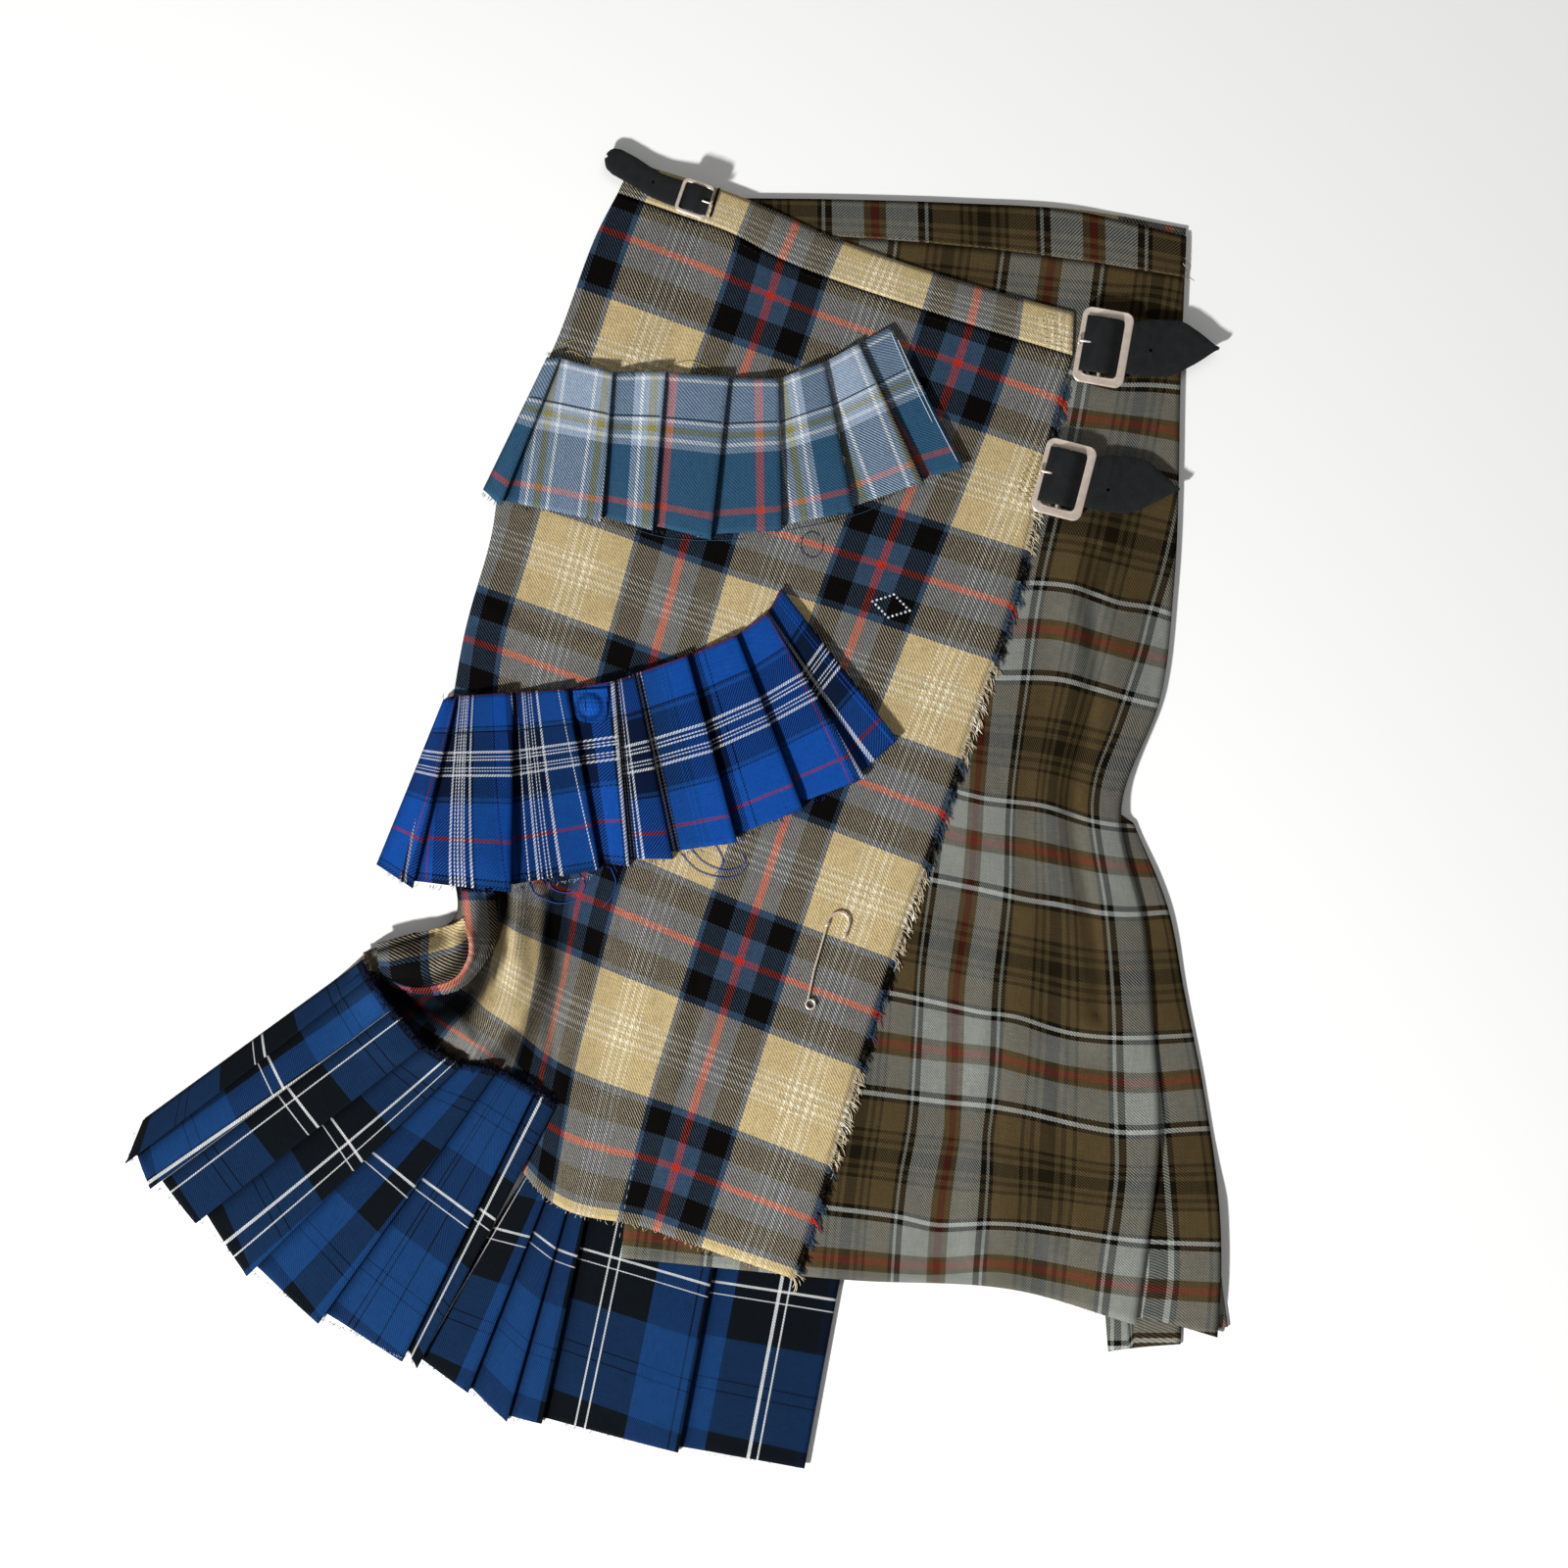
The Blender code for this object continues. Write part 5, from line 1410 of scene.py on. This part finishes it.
def bar(radius, length, sides, spot=(0, 0, 0), turn=(math.pi / 2, 0, 0)):
    # a round bar, along y if it isn't turned otherwise
    bpy.ops.mesh.primitive_cylinder_add(vertices=sides, radius=radius * mm, depth=length * mm, rotation=turn,
                                        location=[c * mm for c in spot])
    bakePlace()
    return bpy.context.object


def finishNickel(piece, node, sharp=None):
    piece.data.materials.clear()
    piece.data.materials.append(nickel)
    piece.data.shade_smooth()
    if sharp:
        piece.data.set_sharp_from_angle(angle=math.radians(sharp))
    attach(piece, "root")
    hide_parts(node)


def roundedBlock(width, height, depth, corner):
    # a block whose upright edges are rounded
    bpy.ops.mesh.primitive_cube_add(size=1, scale=(width * mm, height * mm, depth * mm))
    block = bpy.context.object
    bakePlace()
    openEdit(block)
    corners = block.data.vertices
    pick(block, "EDGE", lambda e: abs(corners[e.vertices[0]].co.z - corners[e.vertices[1]].co.z) > 1e-4)
    bpy.ops.mesh.bevel(offset=corner * mm, segments=8)
    bpy.ops.object.mode_set(mode="OBJECT")
    return block


def makeBuckle(part, middle, turn, kind):
    size = buckles[kind]
    low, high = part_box("buckle_" + part)
    plate, rail = (high[2] - low[2]) / mm, size["bar"]
    piece = roundedBlock(size["width"], size["height"], plate, size["corner"])
    piece.name = "buckle_" + part + "_plate"
    opening = roundedBlock(size["width"] - 2 * rail, size["height"] - 2 * rail, plate * 3, size["corner"] * 0.45)
    apply(piece, "BOOLEAN", operation="DIFFERENCE", object=opening, solver="EXACT")
    bpy.data.objects.remove(opening)
    apply(piece, "BEVEL", width=size["rim"] * mm, segments=3, limit_method="ANGLE", angle_limit=math.radians(50))
    join(piece, bar(size["centreBar"] * 0.5, size["height"] - rail, 16))
    spot = turnedAbout(middle, turn, [(0, size["aside"])])[0]
    place(piece, (*spot, (low[2] + high[2]) / 2 / mm + size["lift"]), turn)
    finishNickel(piece, "buckle_" + part, 40)


def makeTongue(part, middle, turn, kind):
    # the prong, tapered to its tip, with the loop that it swings on
    root, tip, thick, loop = buckles["tongues"][kind]
    low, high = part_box("prong_" + part)
    lift = (low[2] + high[2]) / 2 / mm + buckles[kind]["lift"]
    along = -1 if tip < root else 1
    piece = bar(thick * 0.5, abs(tip - root), 14, ((root + tip) / 2, 0, 0), (0, along * math.pi / 2, 0))
    piece.name = "prong_" + part + "_wire"
    openEdit(piece)
    pick(piece, "FACE", lambda f: f.normal.x * along > 0.9)
    bpy.ops.mesh.extrude_region_move(TRANSFORM_OT_translate={"value": (along * thick * 0.5 * mm, 0, -0.3 * mm)})
    bpy.ops.transform.resize(value=(1, 0.55, 0.55))
    bpy.ops.mesh.inset(thickness=thick * 0.08 * mm)
    bpy.ops.object.mode_set(mode="OBJECT")
    apply(piece, "BEVEL", width=thick * 0.1 * mm, segments=2, limit_method="ANGLE", angle_limit=math.radians(40))
    ring = bar(thick * 0.55, loop, 14, (tip + along * 0.2, 0, 0))
    apply(ring, "BEVEL", width=thick * 0.2 * mm, segments=2, limit_method="ANGLE", angle_limit=math.radians(50))
    join(piece, ring)
    place(piece, (*middle, lift), turn)
    finishNickel(piece, "prong_" + part)


for part, middle, turn, kind, hole in straps["spots"]:
    makeBuckle(part, middle, turn, "small" if kind == "short" else "large")
    makeTongue(part, middle, turn, "small" if kind == "short" else "large")

pin = {
    "wire": 1.2,
    "route": ((81.3, -63.3), (82.2, -60.4), (84.5, -57.9), (87.6, -56.8), (90.8, -57.7), (92.9, -60.1), (93.4, -63.2),
              (92.4, -66.4), (91.3, -69.0), (90.2, -71.4), (88.8, -73.0)),
    "arm": ((81.3, -63.3), (78.3, -74.0), (74.0, -89.0), (69.7, -104.6)),
    "coil": (72.0, -107.6),
    "coilRadius": 2.55,
    "coilTurn": 345,        # degrees
    "coilPoints": 22,
    "coilRise": 0.25,       # so that the coil's ends pass each other
    "rings": ((1.05, 2.4, (81.2, -63.6)), (0.95, 3.2, (91.0, -69.6))),      # collar and clasp: radius, length, place
    "lean": -20,
}


def makePin():
    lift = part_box("kilt_pin")[0][2] / mm + pin["wire"] / 2
    middle = np.array(pin["coil"])
    start = math.atan2(*(np.array(pin["arm"][-1]) - middle)[::-1])
    sweep = np.linspace(0, math.radians(pin["coilTurn"]), pin["coilPoints"])
    coil = [middle + pin["coilRadius"] * np.array((math.cos(start + a), math.sin(start + a))) for a in sweep]
    route = list(reversed(pin["route"])) + list(pin["arm"][1:-1]) + coil
    curve = bpy.data.curves.new("kilt_pin_wire", "CURVE")
    curve.dimensions = "3D"
    curve.bevel_depth = pin["wire"] / 2 * mm
    curve.bevel_resolution = 3
    curve.use_fill_caps = True
    spline = curve.splines.new("POLY")
    spline.points.add(len(route) - 1)
    for k, (point, spot) in enumerate(zip(spline.points, route)):
        rise = pin["coilRise"] * max(0, k - 16) / pin["coilPoints"]
        point.co = (spot[0] * mm, spot[1] * mm, (lift + rise) * mm, 1.0)
    piece = bpy.data.objects.new("kilt_pin_wire", curve)
    bpy.context.scene.collection.objects.link(piece)
    choose(piece)
    bpy.ops.object.convert(target="MESH")
    piece = bpy.context.object
    for radius, length, spot in pin["rings"]:
        ring = bar(radius, length, 14, (*spot, lift), (math.pi / 2, 0, math.radians(pin["lean"])))
        apply(ring, "BEVEL", width=0.3 * mm, segments=2, limit_method="ANGLE", angle_limit=math.radians(50))
        join(piece, ring)
    finishNickel(piece, "kilt_pin")


makePin()
print("the buckles, prongs and pin are made")


# crystals, button, stitches and loose threads

crystals = {
    "middle": (116.5, 111.5),
    "reach": (10.5, 6.5),      # half the lozenge's width and height
    "turn": -14.0,
    "count": 20,
    "radius": 0.78,
}


def crystalGlass():
    shader = Shader("crystal", 0.08, coat=1.0, gloss=1.0)
    # painted glints: random white specks in the stone's colour
    glint = shader.noise(shader.here(), 700.0)
    return shader.finish(shader.blend(glint.between(0.4, 0.6), tone("AEB8C4"), tone("FFFFFF")))


def makeCrystals():
    # one cut stone, copied round a plain lozenge
    bpy.ops.object.select_all(action="DESELECT")
    bpy.ops.mesh.primitive_cone_add(vertices=8, radius1=crystals["radius"] * mm, radius2=crystals["radius"] * 0.5 * mm,
                                    depth=0.7 * mm)
    stone = bpy.context.object
    openEdit(stone)
    pick(stone, "FACE", lambda f: f.normal.z > 0.9)
    bpy.ops.mesh.inset(thickness=0.1 * mm)
    bpy.ops.transform.translate(value=(0, 0, 0.08 * mm))
    bpy.ops.object.mode_set(mode="OBJECT")
    reach, count = np.array(crystals["reach"]), crystals["count"]
    corners = np.array(((1, 0), (0, 1), (-1, 0), (0, -1), (1, 0)), float) * reach
    stones = []
    for k in range(count):
        share = k * 4 / count
        local = corners[int(share)] + (corners[int(share) + 1] - corners[int(share)]) * (share % 1)
        spot = turnedAbout(crystals["middle"], crystals["turn"], [local])[0]
        copy = bpy.data.objects.new("crystal_" + str(k), stone.data.copy())
        bpy.context.scene.collection.objects.link(copy)
        place(copy, (*spot, groundAt(*spot) + 0.35), rng.uniform(0, 45))
        stones.append(copy)
    bpy.data.objects.remove(stone)
    join(*stones)
    piece = stones[0]
    piece.name = "crystals"
    piece.data.materials.clear()
    piece.data.materials.append(crystalGlass())
    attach(piece, "root")


makeCrystals()


def zigzag(start, end, width, step):
    # a machine zigzag from start to end
    start, end = np.array(start, float), np.array(end, float)
    run = (end - start) / np.linalg.norm(end - start)
    side = np.array((-run[1], run[0])) * width / 2
    stops = np.arange(0, np.linalg.norm(end - start), step / 2)
    return [resting(*(start + run * s + side * (1 if k % 2 else -1)), 0.18) for k, s in enumerate(stops)]


def running(points, stitch, gap):
    # separate stitches along a line
    paths = []
    for spot, run, share in walk(np.array(points, float), stitch + gap):
        paths.append([resting(*(spot + run * s), 0.12 + 0.1 * (0 < s < stitch)) for s in np.linspace(0, stitch, 4)])
    return paths


threads = (        # (name, slot, colour, thickness, paths)
    ("band_stitches", "tan_check", "E9DDB8", 0.2, [
        zigzag((198, 268), (213, 262), 4, 2.2), zigzag((197, 264), (214, 257), 4, 2.0),
        zigzag((199, 272), (212, 267), 3.5, 2.4), zigzag((204, 274), (209, 251), 4, 2.2),
        zigzag((199, 271), (203, 253), 3, 2.4)]),
    ("edge_stitches", "tan_check", "D9C896", 0.2, [
        zigzag((203, 205), (190, 168), 4, 2.6), zigzag((197, 204), (186, 172), 3, 3.0)]),
    ("apron_seam", "tan_check", "2A2520", 0.12, running(apronPlan[1, 4:-4], 2.2, 1.0)),
    ("brown_seam", "weathered_check", "7B6B52", 0.14, running(frontPlan[0, 3:] + (0, 1.0), 2.4, 1.2)),
    ("brown_running", "weathered_check", "B8AF9C", 0.16, running([(-24, -190), (-29, -214), (-33, -236)], 3.0, 2.5)),
    ("loose_blue", "bright_blue_check", "24489A", 0.26, [
        curled(((-84, -36), (-80, -46), (-68, -52), (-57, -50), (-52, -42), (-56, -35))),
        curled(((-76, -35), (-70, -44), (-60, -46), (-52, -38))),
        curled(((-38, -32), (-35, -40), (-37, -48), (-42, -54))),
        curled(((6, -22), (14, -30), (26, -34), (36, -30), (34, -24))),
        curled(((0, -24), (10, -34), (24, -38), (33, -36), (38, -30))),
        curled(((20, -20), (24, -30), (18, -38)))]),
    ("loose_dark", "dark_blue_check", "2A3850", 0.22, [
        curled(((68, 150), (67, 143), (72, 138), (78, 141), (79, 149))), curled(((66, 148), (72, 152), (77, 150)))]),
    ("loose_pale", "tan_check", "D8CBA6", 0.15, [
        curled(((278, 303), (281, 299), (280, 293), (283, 290))), curled(((277, 300), (280, 296)))]),
    ("upper_white_edge", "light_blue_check", "C9D2DB", 0.2, [
        curled(((117, 264), (128, 240), (141, 213), (153, 190)), 0.5),
        curled(((116, 262), (126, 239), (139, 212)), 0.6)]),
    ("upper_olive", "light_blue_check", "A39A4E", 0.17, [
        curled(((-68, 249), (-60, 252), (-50, 247), (-40, 243))), curled(((-8, 243), (6, 246), (20, 241), (30, 240))),
        curled(((-72, 250), (-64, 256), (-58, 258)))]),
    ("buckle_yarns", "tan_check", "D9CDA8", 0.3, [
        curled(((203, 197), (206, 199), (207.5, 195.5), (205, 193.5), (206.5, 190.5)), 0.9),
        curled(((203.5, 190), (206, 188.5), (204, 186.5), (206, 184)), 0.9),
        curled(((202, 181), (205, 179.5), (203, 177), (204.5, 174), (202, 172)), 0.9),
        curled(((200.5, 176), (202.5, 173), (201, 170.5)), 0.9)]),
    ("flounce_pale_tufts", "dark_blue_check", "AEB6C4", 0.15, frayed(
        [pleat[2:4] for pleat in flounceLeft["pleats"][5:]], 1.3, 5.0, 250, 0.7)),
    ("lower_pale_tufts", "bright_blue_check", "A9B4D0", 0.14, frayed([(-66, -40), (-46, -36)], 0.9, 3.4, 262, 0.5)),
)
tab = {
    "head": ((-58.5, 65.0), (-38.5, 66.5)),
    "foot": ((-58.0, 52.0), (-39.5, 50.5)),
    "sag": 4.0,             # how far its rounded foot drops
    "button": (-49.0, 56.5),
    "radius": 6.2,
    "swell": 1.6,
}


def makeTab():
    # a flap of the bright blue cloth with a covered button under it
    (a, b), (d, c) = np.array(tab["head"]), np.array(tab["foot"])
    down, share = np.linspace(0, 1, 26)[:, None, None], np.linspace(0, 1, 26)[None, :, None]
    plan = (a + (b - a) * share) * (1 - down) + (d + (c - d) * share) * down
    plan[..., 1:] -= tab["sag"] * down * (1 - (2 * share - 1) ** 4)
    away = np.linalg.norm(plan - np.array(tab["button"]), axis=-1) / tab["radius"]
    ground = np.array([[groundAt(*spot) for spot in row] for row in plan])
    height = softened(ground, 6).clip(min=ground) + 1.1
    height += tab["swell"] * np.clip(1 - away ** 2, 0, 1) ** 0.7 - 0.3 * np.exp(-((away - 1.15) / 0.2) ** 2)
    flat = np.dstack((plan[..., 0] + 118, 6 - (66 - plan[..., 1]) * 0.2))
    # painted shade round the button's edge and towards the flap's foot and right side
    dark = 0.45 * np.exp(-((away - 1.1) / 0.2) ** 2) + 0.4 * down[..., 0] ** 6 + 0.25 * share[..., 0] ** 6
    piece = addSheet("button_tab", plan, height, flat, brightWoven, thick=0.7, hollow=dark)
    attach(piece, "root")


makeTab()


def across(strip, share):
    # a line over all the pleats at one share of their depth
    return [(np.array(pleat[:2]) * (1 - share) + np.array(pleat[2:4]) * share).tolist() for pleat in strip["pleats"]]


def sewn(line, spacing=2.0, lift=0.1):
    return [resting(*spot, lift) for spot, run, share in walk(np.array(line, float), spacing)]


threads += (
    ("upper_stitch", "light_blue_check", "1D3142", 0.34, [sewn(across(ruffleUpper, 0.29))]),
    ("lower_stitch", "bright_blue_check", "0B1A38", 0.3, [sewn(across(ruffleLower, 0.2))]),
    ("small_slit", "leather", "14100C", 0.9, [sewn([(22.2, 342), (19.4, 333), (16.8, 324)], 1.5, 0.2)]),
)
for name, slot, colour, thickness, paths in threads:
    addYarns(name, paths, thickness, plainYarn(name + "_yarn", tone(colour)))
print("the crystals, stitches and loose threads are made")
